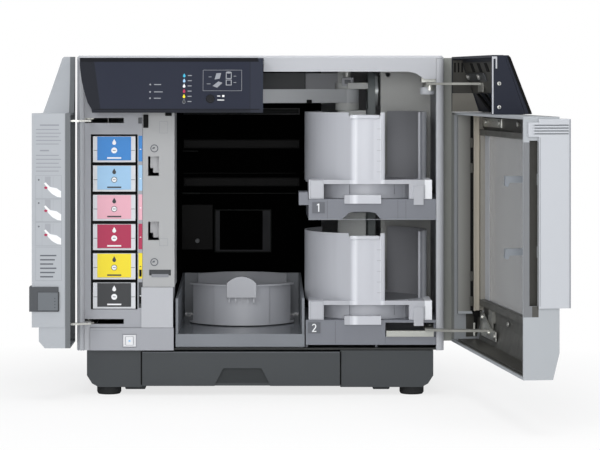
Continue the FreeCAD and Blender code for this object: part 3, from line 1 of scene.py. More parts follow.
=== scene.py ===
import bmesh
import bpy
import json
import math
from functools import partial
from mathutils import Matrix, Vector


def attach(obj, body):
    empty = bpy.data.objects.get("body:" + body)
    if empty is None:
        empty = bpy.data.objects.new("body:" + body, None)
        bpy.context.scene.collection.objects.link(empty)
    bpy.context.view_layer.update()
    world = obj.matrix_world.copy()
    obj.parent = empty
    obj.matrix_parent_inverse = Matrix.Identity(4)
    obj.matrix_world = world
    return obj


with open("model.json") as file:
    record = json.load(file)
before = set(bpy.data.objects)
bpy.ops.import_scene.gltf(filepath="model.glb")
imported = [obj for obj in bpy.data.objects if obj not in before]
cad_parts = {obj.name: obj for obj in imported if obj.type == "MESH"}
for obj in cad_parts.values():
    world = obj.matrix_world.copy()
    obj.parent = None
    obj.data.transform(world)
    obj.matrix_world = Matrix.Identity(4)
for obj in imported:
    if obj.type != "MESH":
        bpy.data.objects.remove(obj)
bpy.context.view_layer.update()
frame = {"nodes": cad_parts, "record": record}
print("frame loaded", len(frame["nodes"]), "nodes")

# Cabinet's own axes start at its front face, on its middle line.
shift = Vector((-0.0244, -0.086, 0.0))


def place(x, y, z):
    # Millimetres on the cabinet to metres in the row frame.
    return Vector((x, y, z)) / 1000 + shift


class Field:
    # One shader value; its operators add nodes.
    def __init__(self, tree, socket):
        self.tree = tree
        self.socket = socket

    def math(self, kind, *others, clamp=False):
        node = addNode(
            self.tree, "ShaderNodeMath", {"operation": kind, "use_clamp": clamp}, [self, *others]
        )
        return Field(self.tree, node.outputs[0])

    def __add__(self, other):
        return self.math("ADD", other)

    __radd__ = __add__

    def __sub__(self, other):
        return self.math("SUBTRACT", other)

    def __rsub__(self, other):
        return constant(self.tree, other).math("SUBTRACT", self)

    def __mul__(self, other):
        return self.math("MULTIPLY", other)

    __rmul__ = __mul__

    def __truediv__(self, other):
        return self.math("DIVIDE", other)

    def above(self, start, end):
        # 0 below start, 1 above end.
        return ((self - start) / (end - start)).math("ADD", 0.0, clamp=True)

    def inside(self, low, high, soft=0.0001):
        return self.above(low - soft, low + soft) * (1.0 - self.above(high - soft, high + soft))


def addNode(tree, kind, settings=None, inputs=()):
    node = tree.nodes.new(kind)
    for key, value in (settings or {}).items():
        setattr(node, key, value)
    pairs = inputs.items() if isinstance(inputs, dict) else enumerate(inputs)
    for key, value in pairs:
        feed(tree, node.inputs[key], value)
    return node


def feed(tree, socket, value):
    if isinstance(value, Field):
        tree.links.new(value.socket, socket)
    elif socket.type == "RGBA":
        socket.default_value = (*linear(value), 1.0)
    else:
        socket.default_value = value


def constant(tree, value):
    node = addNode(tree, "ShaderNodeValue")
    node.outputs[0].default_value = value
    return Field(tree, node.outputs[0])


def mix(tree, amount, first, second):
    node = addNode(tree, "ShaderNodeMix", {"data_type": "RGBA", "clamp_factor": True})
    feed(tree, node.inputs[0], amount)
    feed(tree, node.inputs[6], first)
    feed(tree, node.inputs[7], second)
    return Field(tree, node.outputs[2])


def layered(tree, tone, *coats):
    # Each coat is an amount and a colour, laid over the ones before.
    for amount, colour in coats:
        tone = mix(tree, amount, tone, colour)
    return tone


def position(tree):
    placeNode = addNode(tree, "ShaderNodeTexCoord")
    spot = Field(tree, placeNode.outputs["Object"])
    split = addNode(tree, "ShaderNodeSeparateXYZ", {}, [spot])
    axes = [Field(tree, split.outputs[index]) for index in range(3)]
    return spot, [axes[0] - shift.x, axes[1] - shift.y, axes[2]]


def distance(tree, across, deep):
    flat = addNode(tree, "ShaderNodeCombineXYZ", {}, [across, deep, 0.0])
    reach = addNode(
        tree, "ShaderNodeVectorMath", {"operation": "LENGTH"}, [Field(tree, flat.outputs[0])]
    )
    return Field(tree, reach.outputs["Value"])


def noise(tree, spot, size, detail, stretch=(1, 1, 1)):
    scaled = addNode(
        tree, "ShaderNodeMapping", {"vector_type": "POINT"}, {"Vector": spot, "Scale": stretch}
    )
    node = addNode(tree, "ShaderNodeTexNoise", {}, {"Vector": Field(tree, scaled.outputs[0])})
    node.inputs["Scale"].default_value = 1 / size
    node.inputs["Detail"].default_value = detail
    return Field(tree, node.outputs[0])


def linear(colour):
    # A colour is hex text or linear values already.
    if not isinstance(colour, str):
        return colour
    numbers = [int(colour[start:start + 2], 16) / 255 for start in (0, 2, 4)]
    return tuple(
        value / 12.92 if value <= 0.04045 else ((value + 0.055) / 1.055) ** 2.4
        for value in numbers
    )


def tint(colour, factor):
    return tuple(min(1.0, part * factor) for part in linear(colour))


def newMaterial(name):
    material = bpy.data.materials.new(name)
    material.use_nodes = True
    tree = material.node_tree
    return material, tree, tree.nodes["Principled BSDF"], *position(tree)


def finishSurface(tree, surface, colour, rough, bump, strength, distance):
    feed(tree, surface.inputs["Base Color"], colour)
    feed(tree, surface.inputs["Roughness"], rough)
    relief = addNode(tree, "ShaderNodeBump", {}, {"Height": bump})
    relief.inputs["Strength"].default_value = strength
    relief.inputs["Distance"].default_value = distance
    tree.links.new(relief.outputs[0], surface.inputs["Normal"])


def moulded(name, colour, rough, grain, depth, uneven, specular=0.4):
    # Moulded plastic: fine spark-eroded grain, faint dust and handling marks.
    material, tree, surface, spot, _ = newMaterial(name)
    broad = noise(tree, spot, 0.09, 3)
    fine = noise(tree, spot, grain, 2)
    scuff = noise(tree, spot, 0.012, 5, (1, 1, 0.35))
    shade = broad * uneven + fine * uneven * 0.5
    tone = mix(tree, shade * 4.0, tint(colour, 1 - uneven), tint(colour, 1 + uneven))
    wear = scuff.above(0.6, 0.75)
    finishSurface(
        tree, surface, tone, rough + wear * 0.08 + broad * 0.06 - 0.03, fine, depth, 0.00012
    )
    surface.inputs["Specular IOR Level"].default_value = specular
    return material


def sheetMetal(name, colour, rough, along, metallic, uneven=0.08):
    # Rolled or brushed metal: streaks along one direction and a few blotches.
    material, tree, surface, spot, _ = newMaterial(name)
    streak = noise(tree, spot, 0.0012, 3, along)
    blotch = noise(tree, spot, 0.04, 4)
    tone = mix(
        tree, streak * 0.6 + blotch * 0.4, tint(colour, 1 - uneven), tint(colour, 1 + uneven)
    )
    finishSurface(
        tree, surface, tone, rough + streak * 0.12 + blotch * 0.08 - 0.1, streak, 0.15, 0.00008
    )
    surface.inputs["Metallic"].default_value = metallic
    return material


print("material tools ready")

# Finishes, by the record's material slots.
finishes = {
    "base": moulded("base_plastic", "3c4043", 0.45, 0.0009, 0.3, 0.05),
    "rubber": moulded("foot_rubber", "2b2c2d", 0.8, 0.0005, 0.4, 0.08, 0.2),
    "sheet": sheetMetal("zinc_sheet", "a5a6a3", 0.38, (1, 1, 0.06), 0.7),
    "unit_case": sheetMetal("unit_case", "9fa09d", 0.4, (1, 1, 0.06), 0.6),
    "case": moulded("shell_plastic", "b9bbc0", 0.5, 0.0006, 0.22, 0.03),
    "case_light": moulded("handle_plastic", "b9bcc1", 0.5, 0.0006, 0.22, 0.03),
    "case_back": moulded("rear_paint", "babcbf", 0.5, 0.0004, 0.18, 0.03),
    "navy": moulded("navy_plastic", "171c2b", 0.42, 0.0005, 0.15, 0.05, 0.3),
    "navy_key": moulded("key_plastic", "0c0e15", 0.5, 0.0005, 0.15, 0.05, 0.2),
    "white_key": moulded("white_key", "e6e7ea", 0.35, 0.0005, 0.1, 0.02),
    "black": moulded("black_plastic", "050505", 0.6, 0.0008, 0.3, 0.15, 0.15),
    "steel": sheetMetal("bright_steel", "c2c2bd", 0.28, (1, 1, 0.05), 0.95),
    "mid_grey": moulded("mid_grey_plastic", "8b8d93", 0.5, 0.0007, 0.25, 0.05),
    "board": moulded("circuit_board", "1f5a38", 0.4, 0.002, 0.3, 0.15),
    "dark_metal": sheetMetal("dark_metal", "45474a", 0.42, (1, 1, 0.1), 0.6),
    "arm_grey": moulded("arm_plastic", "8f9197", 0.46, 0.0007, 0.25, 0.06),
    "shelf_grey": moulded("shelf_plastic", "7b7e86", 0.42, 0.0006, 0.2, 0.05),
    "stacker": moulded("stacker_plastic", "b9bbc1", 0.34, 0.0004, 0.12, 0.05, 0.55),
    "dark_grey": moulded("latch_plastic", "4b4e52", 0.45, 0.0006, 0.2, 0.06),
}


def smoked(name):
    # Smoked clear pane: mostly see-through, with a soft haze and fine dust.
    material, tree, surface, spot, _ = newMaterial(name)
    dust = noise(tree, spot, 0.003, 4)
    haze = noise(tree, spot, 0.08, 2)
    tone = mix(tree, dust, "7c7e80", "96989a")
    finishSurface(tree, surface, tone, 0.12 + haze * 0.1, haze, 0.05, 0.0002)
    feed(tree, surface.inputs["Alpha"], 0.6 + dust * 0.12)
    return material


def inkCase(name):
    # Light grey cartridge body; a darker body behind its face.
    material, tree, surface, spot, axes = newMaterial(name)
    fine = noise(tree, spot, 0.0006, 2)
    face = 1.0 - axes[1].above(0.003, 0.006)
    tone = mix(tree, face * 0.9 + fine * 0.1, "7c8085", "d8dade")
    finishSurface(tree, surface, tone, 0.42 + fine * 0.1, fine, 0.2, 0.0001)
    return material


def shadedCase(name, colour, shadeColour, edge):
    # Case plastic with painted shade to the right of one upright edge.
    material, tree, surface, spot, axes = newMaterial(name)
    fine = noise(tree, spot, 0.0006, 2)
    broad = noise(tree, spot, 0.09, 3)
    past = axes[0].above(edge, edge + 0.0006)
    tone = mix(tree, past, tint(colour, 1.02), shadeColour)
    finishSurface(
        tree, surface, mix(tree, broad * 0.1, tone, tint(colour, 0.8)), 0.5, fine, 0.2, 0.0001
    )
    return material


finishes["smoke"] = smoked("smoked_pane")
cartridgeBody = inkCase("cartridge_case")
slotOf = {entry["node"]: entry["material_slot"] for entry in frame["record"]["subparts"]}


def paint(obj, material):
    obj.data.materials.clear()
    obj.data.materials.append(material)


for node, obj in frame["nodes"].items():
    chosen = slotOf[node]
    paint(obj, cartridgeBody if chosen.startswith("ink_") else finishes[chosen])
print("finishes done", len(finishes))


# Small parts and printed marks, each a thin raised piece on the CAD surface it sits on.
def buildMesh(name, points, faces, material, body, bevel=0.0, smooth=False):
    data = bpy.data.meshes.new(name)
    data.from_pydata([tuple(point) for point in points], [], faces)
    data.validate()
    data.update()
    obj = bpy.data.objects.new(name, data)
    bpy.context.collection.objects.link(obj)
    data.materials.append(material)
    if bevel:
        soften = obj.modifiers.new("edge", "BEVEL")
        soften.width = bevel
        soften.segments = 2
        soften.limit_method = "ANGLE"
    for polygon in data.polygons:
        polygon.use_smooth = smooth
    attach(obj, body)
    return obj


def slab(name, outlines, front, back, material, body="cabinet", spot=place, bevel=0.0):
    # Prisms between two depths; each outline is a list of (x, z) seen from the front.
    points = []
    faces = []
    for outline in outlines:
        start = len(points)
        count = len(outline)
        points += [spot(x, front, z) for x, z in outline] + [spot(x, back, z) for x, z in outline]
        faces.append(list(range(start, start + count)))
        faces.append(list(range(start + 2 * count - 1, start + count - 1, -1)))
        for index in range(count):
            after = (index + 1) % count
            faces.append(
                [start + index, start + count + index, start + count + after, start + after]
            )
    obj = buildMesh(name, points, faces, material, body, bevel)
    tidy = bmesh.new()
    tidy.from_mesh(obj.data)
    bmesh.ops.recalc_face_normals(tidy, faces=tidy.faces)
    tidy.to_mesh(obj.data)
    tidy.free()


def boxOutline(left, right, low, high):
    return [(left, low), (right, low), (right, high), (left, high)]


def roundOutline(x, z, radius, count=24, height=None):
    height = radius if height is None else height
    turns = [2 * math.pi * step / count for step in range(count)]
    return [(x + radius * math.cos(turn), z + height * math.sin(turn)) for turn in turns]


def frameOutlines(left, right, low, high, line):
    return [
        boxOutline(left, right, high - line, high),
        boxOutline(left, right, low, low + line),
        boxOutline(left, left + line, low + line, high - line),
        boxOutline(right - line, right, low + line, high - line),
    ]


def drawPieces(pieces, draw=slab, ending="", **shared):
    # An entry has a box (left, right, low, high), boxes or free outlines, its depths and its
    # finish or ink; what it leaves out comes from the shared values.
    for name, own in pieces.items():
        piece = {**shared, **own}
        boxes = piece.get("boxes", [piece["box"]] if "box" in piece else [])
        outlines = [boxOutline(*box) for box in boxes] + piece.get("outlines", [])
        finish = piece.get("finish")
        material = inks[piece["ink"]] if "ink" in piece else finishes.get(finish, finish)
        where = {key: piece[key] for key in ("body", "bevel") if key in piece}
        draw(name + ending, outlines, *piece["depth"], material, **where)


def printed(name, colour):
    # Screen-printed ink: slightly uneven coverage over the plastic's grain.
    material, tree, surface, spot, _ = newMaterial(name)
    cover = noise(tree, spot, 0.0009, 3)
    broad = noise(tree, spot, 0.02, 2)
    tone = mix(tree, cover * 0.7 + broad * 0.3, tint(colour, 0.92), tint(colour, 1.06))
    finishSurface(tree, surface, tone, 0.42 + cover * 0.1, cover, 0.12, 0.00006)
    return material


inkColours = {
    "blue": "2e82cc", "light_blue": "9ec7e8", "pink": "e8aebd", "magenta": "ad1f4c",
    "yellow": "f2dc1e", "black": "2e3033", "white": "f0f1f3", "cyan": "3fb4d6", "grey": "8f9299",
    "dark": "5c5f66", "pale": "9fa2a8",
}
inks = {name: printed("print_" + name, colour) for name, colour in inkColours.items()}
inks["grip"] = printed("latch_face_grey", "666b70")
screw = sheetMetal("screw_steel", "cfcfca", 0.3, (1, 1, 1), 0.9)
panel = {"low": 292.0, "high": 345.2, "foot": -35.4, "top": -15.5}


def lean(z):
    share = (z - panel["low"]) / (panel["high"] - panel["low"])
    return panel["foot"] + (panel["top"] - panel["foot"]) * share


def panelSpot(x, y, z):
    # y counts outwards from the leaning face, which is 0.
    return place(x, lean(z) - y, z)


panelSlab = partial(slab, body="cabinet", spot=panelSpot)


def dropOutline(x, z, size):
    shape = [(0, 1.25), (0.42, 0.5), (0.74, -0.1), (0.7, -0.62), (0.36, -0.96), (0, -1.05)]
    right = [(x + a * size, z + b * size) for a, b in shape]
    left = [(x - a * size, z + b * size) for a, b in shape[1:-1]]
    return right + left[::-1]


def panelMarks():
    lamps = {"x": -111.5, "z": (318.4, 311.0, 304.6), "size": 0.9}
    drops = {"x": -77.2, "top": 327.6, "step": 5.25, "size": 1.75}
    pieces = {
        "panel_lamps": {
            "outlines": [roundOutline(lamps["x"], z, lamps["size"], 12) for z in lamps["z"]],
            "depth": (0.25, -0.3)},
        "panel_lamp_bars": {
            "boxes": [
                (-107.6, -100.6 + 1.8 * (index % 2), z - 0.45, z + 0.45)
                for index, z in enumerate(lamps["z"])
            ]},
    }
    drawPieces(pieces, panelSlab, depth=(0.12, -0.2), ink="grey")
    for row, ink in enumerate(("cyan", "light_blue", "white", "magenta", "yellow", "black")):
        z = drops["top"] - drops["step"] * row
        shape = [dropOutline(drops["x"], z, drops["size"])]
        panelSlab("panel_drop_%d" % (row + 1), shape, 0.15, -0.2, inks[ink])
        if ink == "black":
            ring = [dropOutline(drops["x"], z, drops["size"] + 0.35)]
            panelSlab("panel_drop_ring", ring, 0.08, -0.2, inks["grey"])
    diagram = frameOutlines(-58.2, -18.8, 312.0, 333.2, 0.28)
    for low, high in ((324.2, 330.6), (317.6, 323.4)):
        diagram += frameOutlines(-35.0, -29.2, low, high, 0.7)
    diagram.append(roundOutline(-32.1, 330.6, 2.9, 16, 1.0))
    pieces = {
        "panel_drop_bars": {
            "boxes": [(-73.6, -69.6, 327.1 - 5.25 * row, 328.0 - 5.25 * row) for row in range(6)],
            "ink": "grey"},
        "panel_diagram": {"outlines": diagram, "depth": (0.15, -0.2), "ink": "pale"},
        "panel_diagram_trays": {
            "outlines": [
                [(-46.4, 323.6), (-41.2, 324.4), (-39.8, 330.2), (-44.6, 329.8)],
                [(-48.4, 317.0), (-43.8, 315.2), (-38.4, 320.2), (-42.6, 321.6)]
            ],
            "depth": (0.15, -0.2), "ink": "grey"},
        "panel_top_band": {
            "outlines": [[(-183.0, 345.6), (-2.6, 345.6), (-1.6, 341.6), (-182.6, 341.6)]],
            "depth": (0.1, -0.2), "finish": "navy_key"},
        "panel_low_line": {"box": (-168.0, -1.0, 293.2, 293.9), "depth": (0.1, -0.2),
            "finish": "navy_key"},
        "panel_diagram_lines": {
            "boxes": [
                (-52.4, -49.6, 325.9, 326.5), (-27.2, -24.4, 326.6, 327.2),
                (-54.4, -50.4, 318.8, 319.4), (-27.2, -24.4, 320.2, 320.8)
            ],
            "ink": "grey"},
        "panel_key_marks": {
            "boxes": [
                (-43.6, -40.6, 306.4, 307.2), (-38.6, -36.4, 305.8, 307.8),
                (-43.6, -36.6, 302.4, 303.2)
            ],
            "ink": "white"},
    }
    drawPieces(pieces, panelSlab, depth=(0.12, -0.2))


panelMarks()


def digit(name, number, x, z, size, y, body):
    # Plain stacker number from straight strokes.
    strokes = {
        1: [
            [(-0.05, -1), (0.22, -1), (0.22, 1), (-0.02, 1), (-0.36, 0.76), (-0.36, 0.5),
                (-0.05, 0.68)]
        ],
        2: [
            [(-0.52, -1), (0.54, -1), (0.54, -0.76), (-0.14, -0.76), (-0.52, -0.84)],
            [(-0.52, -0.84), (-0.14, -0.76), (0.5, 0.1), (0.24, 0.2)],
            [(0.24, 0.2), (0.5, 0.1), (0.54, 0.5), (0.28, 0.46)],
            [(0.28, 0.46), (0.54, 0.5), (0.34, 0.88), (0.16, 0.7)],
            [(0.16, 0.7), (0.34, 0.88), (0, 1), (0, 0.77)],
            [(0, 0.77), (0, 1), (-0.34, 0.9), (-0.2, 0.7)],
            [(-0.2, 0.7), (-0.34, 0.9), (-0.52, 0.56), (-0.3, 0.5)],
        ],
    }
    outlines = [[(x + a * size, z + b * size) for a, b in stroke] for stroke in strokes[number]]
    slab(name, outlines, y - 0.25, y + 0.1, inks["white"], body)


def numberTiles():
    tile = {
        "left_1": 52.8, "left_2": 48.4, "width": 13.1, "high_1": 198.0, "high_2": 75.0, "tall": 11.4
    }
    for number in (1, 2):
        left = tile["left_%d" % number]
        high = tile["high_%d" % number]
        outline = boxOutline(left + 0.3, left + tile["width"], high - tile["tall"], high)
        slab("tile_%d" % number, [outline], 0.45, 0.75, inks["dark"])
        digit("digit_%d" % number, number, left + 6.6, high - 5.7, 4.2, 0.45, "cabinet")


numberTiles()
print("printed marks done")


cartridgeInks = ("blue", "light_blue", "pink", "magenta", "yellow", "black")


def cartridgeFaces():
    # Label, two side grips and a generic round mark on each cartridge face.
    size = {
        "left": -171.5, "width": 43.5, "height": 26.6, "pitch": 30.0, "top": 265.4, "label": 34.7
    }
    middle = size["left"] + size["width"] / 2
    half = size["label"] / 2
    grip = size["width"] / 2 - 0.6
    face = 1.4
    for row, ink in enumerate(cartridgeInks):
        top = size["top"] - size["pitch"] * row
        low = top - size["height"]
        centre = (low + top) / 2 - 1.2
        mark = "black" if ink in ("light_blue", "pink", "yellow") else "white"
        notch = (centre - 0.25, centre + 0.25)
        pieces = {
            "label_": {"box": (middle - half, middle + half, low + 2.0, top - 0.4),
                "depth": (1.4, 1.75), "ink": ink},
            "label_ring_": {"outlines": [roundOutline(middle, centre, 3.0)],
                "depth": (face - 0.12, face)},
            "label_disc_": {"outlines": [roundOutline(middle, centre, 2.45)],
                "depth": (face - 0.2, face), "ink": "white"},
            "label_slot_": {"box": (middle - 1.5, middle + 1.5, centre - 0.35, centre + 0.35),
                "depth": (face - 0.26, face - 0.1), "ink": "dark"},
            "label_drop_": {"outlines": [dropOutline(middle, centre + 8.4, 2.6)],
                "depth": (face - 0.15, face)},
            "label_bar_": {"box": (middle - 7.2, middle + 7.2, low + 3.6, low + 5.1),
                "depth": (face - 0.12, face)},
            "face_notch_": {
                "boxes": [
                    (middle - grip, middle - half, *notch), (middle + half, middle + grip, *notch)
                ],
                "depth": (1.45, 1.75), "ink": "dark"},
        }
        number = str(row + 1)
        drawPieces(pieces, ending=number, body="cartridge_" + number, ink=mark)


def colourStrip():
    # Printed strip between the ink mouth and the pillar, one colour for each cartridge.
    for row, ink in enumerate(cartridgeInks):
        top = 265.9 - 30.0 * row
        name = "strip_%d" % (row + 1)
        pieces = {
            name: {"box": (-124.8, -120.9, top - 26.2, top), "depth": (0.3, 0.6), "ink": ink},
            name + "_mark": {"box": (-123.6, -122.0, top - 14.2, top - 13.4),
                "depth": (0.18, 0.35), "ink": "black" if ink == "yellow" else "white"},
        }
        drawPieces(pieces)


cartridgeFaces()
colourStrip()


def ringMesh(name, x, z, radius, hole, front, back, material):
    # Flat washer seen from the front.
    outer = roundOutline(x, z, radius)
    inner = roundOutline(x, z, hole)
    count = len(outer)
    points = []
    for depth in (front, back):
        points += [place(a, depth, b) for a, b in outer + inner]
    faces = []
    for index in range(count):
        after = (index + 1) % count
        faces.append([index, after, count + after, count + index])
        faces.append([index, 2 * count + index, 2 * count + after, after])
        faces.append([count + index, count + after, 3 * count + after, 3 * count + index])
    buildMesh(name, points, faces, material, "cabinet")


def screwHead(name, x, z, radius, face, body, spot):
    # Pan head with a cross recess.
    points = []
    rings = ((1.0, 0.0), (0.96, 0.45), (0.72, 0.8), (0.4, 0.92))
    count = 20
    for share, rise in rings:
        for a, b in roundOutline(x, z, radius * share, count):
            points.append(spot(a, face - rise * radius * 0.4, b))
    faces = []
    for step in range(len(rings) - 1):
        for index in range(count):
            after = (index + 1) % count
            faces.append(
                [
                    step * count + index, step * count + after, (step + 1) * count + after,
                    (step + 1) * count + index
                ]
            )
    faces.append(list(range(3 * count, 4 * count)))
    buildMesh(name, points, faces, screw, body, 0.0, True)
    top = face - 0.37 * radius
    arm = radius * 0.62
    slim = radius * 0.13
    cross = [
        boxOutline(x - arm, x + arm, z - slim, z + slim),
        boxOutline(x - slim, x + slim, z - arm, z + arm)
    ]
    slab(name + "_cross", cross, top - 0.05, top + 0.1, inks["black"], body, spot)


# Round keys with arrows, openings with painted light on their white backs, a slot with painted
# shade, catches and tags on the pillar between the bays.
pillar = {"ringX": -108.6, "high": 253.0, "low": 136.6, "face": 0.25, "drop": 66.7}
for name, z in (("high", pillar["high"]), ("low", pillar["low"])):
    ringMesh(
        "pillar_ring_" + name, pillar["ringX"], z, 4.1, 3.1, pillar["face"], 0.6, inks["dark"]
    )
    arrow = [[(-111.0, z - 0.5), (-108.4, z - 0.5), (-107.8, z + 1.6), (-110.0, z + 1.2)]]
    slab("pillar_arrow_" + name, arrow, 0.3, 0.6, inks["dark"])
upperHole = [
    (-113.4, 244.6), (-103.6, 244.6), (-103.6, 227.6), (-110.4, 227.6), (-110.4, 232.4),
    (-113.4, 232.4)
]
lowerHole = [(x, z - pillar["drop"]) for x, z in upperHole]
pillarDetails = {
    # White backs in the openings: painted light.
    "pillar_hole_back_high": {"outlines": [upperHole], "depth": (14.0, 15.5),
        "finish": "white_key"},
    "pillar_hole_back_low": {"outlines": [lowerHole], "depth": (14.0, 15.5),
        "finish": "white_key"},
    "pillar_slot_shade": {"box": (-113.6, -92.0, 123.0, 128.6), "depth": (4.2, 6.0),
        "finish": "dark_grey"},
    "pillar_slot_tab": {"box": (-111.6, -94.0, 121.0, 124.4), "depth": (0.1, 0.8),
        "finish": "mid_grey", "bevel": 0.0003},
    "pillar_catches": {"boxes": [(-119.8, -114.6, 274.0, 287.6), (-97.4, -91.0, 286.2, 289.6)],
        "depth": (-0.9, 0.7), "finish": "black", "bevel": 0.0004},
    "pillar_tag": {"outlines": frameOutlines(-103.4, -94.8, 268.6, 280.8, 0.3), "ink": "grey"},
    "pillar_tag_low": {"outlines": frameOutlines(-103.4, -94.8, 153.2, 160.8, 0.3),
        "ink": "grey"},
    "pillar_foot_catches": {"boxes": [(-124.0, -121.6, z, z + 7.0) for z in (121.8, 94.2)],
        "depth": (-0.4, 0.6), "finish": "black"},
    "pillar_seam": {"box": (-119.8, -88.6, 110.2, 110.6), "depth": (0.36, 0.55), "ink": "dark"},
}
drawPieces(pillarDetails, depth=(0.38, 0.55))


# Folded edges left of the ink bay, the closed corner below it and a cover catch.
leftFlange = {
    "flange_corner": {"box": (-179.8, -174.6, 46.4, 76.0), "depth": (0.2, 1.0), "finish": "case"},
    "flange_folds": {"boxes": [(-186.6, -185.9, 46.0, 344.0), (-181.6, -181.0, 46.0, 344.0)],
        "ink": "grey"},
    "flange_step": {"box": (-184.6, -183.0, 46.0, 344.0), "finish": "case_light"},
    "ink_catch": {"box": (-125.0, -121.4, 278.4, 284.6), "depth": (-0.6, 1.0),
        "finish": "dark_grey", "bevel": 0.0004},
}
drawPieces(leftFlange, depth=(-0.15, 0.2))


# The power key's own marks, then the ring and the line round it on the panel.
keyFace = -2.3
powerKey = {
    "power_key_edge": {"outlines": frameOutlines(-138.0, -129.8, 51.6, 60.8, 0.35),
        "depth": (keyFace - 0.05, keyFace + 0.1), "ink": "grey", "body": "power_key"},
    "power_key_mark": {"outlines": [roundOutline(-133.9, 56.2, 1.1, 16)],
        "depth": (keyFace - 0.07, keyFace + 0.1), "ink": "light_blue", "body": "power_key"},
    "power_ring": {"outlines": frameOutlines(-140.4, -127.4, 50.2, 62.2, 1.9),
        "depth": (-1.95, -1.4), "finish": "white_key", "bevel": 0.0003},
    "power_ring_line": {"outlines": frameOutlines(-141.2, -126.6, 49.4, 63.0, 0.6),
        "depth": (-1.75, -1.4), "ink": "grey"},
    "power_lines": {"box": (-174.0, -141.4, 66.6, 66.9), "depth": (-1.62, -1.4), "ink": "grey"},
}
drawPieces(powerKey)


print("front details done")


# Both covers are drawn closed and stand open at rest, so their details turn with them.
hinges = {"disc": (175.1, 23.5, 97.2), "ink": (-177.0, 12.0, -90.0)}


def turned(cover, x, y, z):
    pinX, pinY, degrees = hinges[cover]
    turn = math.radians(degrees)
    east = x - pinX
    north = y - pinY
    return place(
        pinX + east * math.cos(turn) - north * math.sin(turn),
        pinY + east * math.sin(turn) + north * math.cos(turn),
        z,
    )


def paneSpot(x, y, z):
    # On the disc cover's inner face; depth grows towards its outer skin.
    return turned("disc", x, -y, z)


paneSlab = partial(slab, body="disc_door", spot=paneSpot)


def endSpot(y, x, z):
    # On faces of the disc cover that look along its own -X.
    return turned("disc", x, y, z)


endSlab = partial(slab, body="disc_door", spot=endSpot)


def inkSpot(y, depth, z):
    # On the ink cover's edge strip; depth 0 is its printed face.
    return turned("ink", -125.0 - depth, y, z)


inkSlab = partial(slab, body="ink_door", spot=inkSpot)


tarnished = sheetMetal("tarnished_steel", "4a4945", 0.42, (1, 1, 0.2), 0.5, 0.2)
# Darker grey-brown plastic, unevenly toned.
greyBrown = moulded("grey_brown_seal", "8b8880", 0.5, 0.004, 0.3, 0.12)
# Lip colour: painted shade.
lipShade = moulded("lip_shade_plastic", "9c9e99", 0.5, 0.0006, 0.22, 0.05)
cream = moulded("cream_seal", "b7b0a2", 0.5, 0.0006, 0.25, 0.06)


# Sheets, links, straps and bolts on the disc cover's inner face.
coverSkin = 33.4
coverBolts = {
    "spots": (
        (156, 79), (128, 66), (100, 65), (60, 82), (-40, 82), (156, 280), (96, 280), (20, 280)
    ),
    "lifts": (6, 6, 6, 1.2, 1.2, 2.4, 2.4, 1.2), "radius": 2.6
}
coverInside = {
    "cover_sheet_high": {"box": (-108, 173.6, 273.6, 285.6),
        "depth": (coverSkin - 1.2, coverSkin - 0.4)},
    "cover_floor_sheet": {"box": (-112, 172, 54.0, 55.4), "depth": (6.0, 26.0)},
    "cover_link_low": {
        "outlines": [
            [(96, 60), (160, 60), (166, 70), (166, 84), (150, 84), (120, 72), (96, 70)]
        ],
        "depth": (coverSkin - 6, coverSkin - 4.6), "finish": screw, "bevel": 0.0004},
    "cover_link_posts": {"boxes": [(148, 152, 62, 66), (110, 114, 62, 66)],
        "depth": (coverSkin - 4.8, coverSkin - 1.0)},
    "cover_strap_high": {
        "outlines": [[(86, 275), (164, 275), (168, 279), (168, 284), (86, 284)]],
        "depth": (coverSkin - 2.4, coverSkin - 1.1), "finish": screw, "bevel": 0.0004},
    "cover_pane_edge": {"box": (148, 167.7, 96.6, 265.4), "depth": (33.2, 33.6),
        "finish": "case_light"},
}
for index, (x, z) in enumerate(coverBolts["spots"]):
    depth = coverSkin - coverBolts["lifts"][index]
    head = roundOutline(x, z, coverBolts["radius"], 14)
    coverInside["cover_bolt_%d" % index] = {"outlines": [head],
        "depth": (depth - 1.4, depth + 0.2), "finish": screw, "bevel": 0.0004}
drawPieces(coverInside, paneSlab, finish=tarnished)


# Seals, channel and clips on the cover's hinge end, and the rail on its free end.
endFace = 174.5
coverHingeEnd = {
    "cover_seal": {"box": (-28.4, -22.4, 84.0, 287.0), "depth": (endFace - 2.6, endFace),
        "finish": cream, "bevel": 0.0005},
    "cover_seal_lip": {"box": (-23.6, -22.4, 84.0, 287.0), "depth": (endFace - 4.2, endFace - 2.6),
        "finish": cream},
    "cover_channel": {"box": (-22.2, -19.2, 84.0, 287.0), "depth": (endFace - 0.8, endFace),
        "finish": "black"},
}
for index, z in enumerate((258.0, 232.0, 120.0, 94.0)):
    coverHingeEnd["cover_clip_%d" % index] = {"box": (-21.6, -18.4, z - 5, z + 5),
        "depth": (endFace - 3.2, endFace - 0.8), "bevel": 0.0006}
coverHingeEnd["cover_seal_side"] = {"box": (-33.4, -28.6, 84.0, 287.0),
    "depth": (endFace - 0.6, endFace), "finish": greyBrown}
# The side lip's colour is painted shade.
coverHingeEnd["cover_side_lip"] = {"box": (-2.6, 6.0, 51.6, 346.0), "depth": (188.5, 189.3),
    "finish": lipShade}
coverHingeEnd["cover_latch_rail"] = {"box": (-33.2, -7.0, 108.6, 270.0), "depth": (-112.8, -111.6),
    "bevel": 0.0004}
drawPieces(coverHingeEnd, endSlab, finish=tarnished)


def skinSpot(x, lift, z):
    # On the cap's leaning inner face.
    return turned("disc", x, -32.2 + (z - 288.9) * 0.355 + lift, z)


skinSlab = partial(slab, body="disc_door", spot=skinSpot)


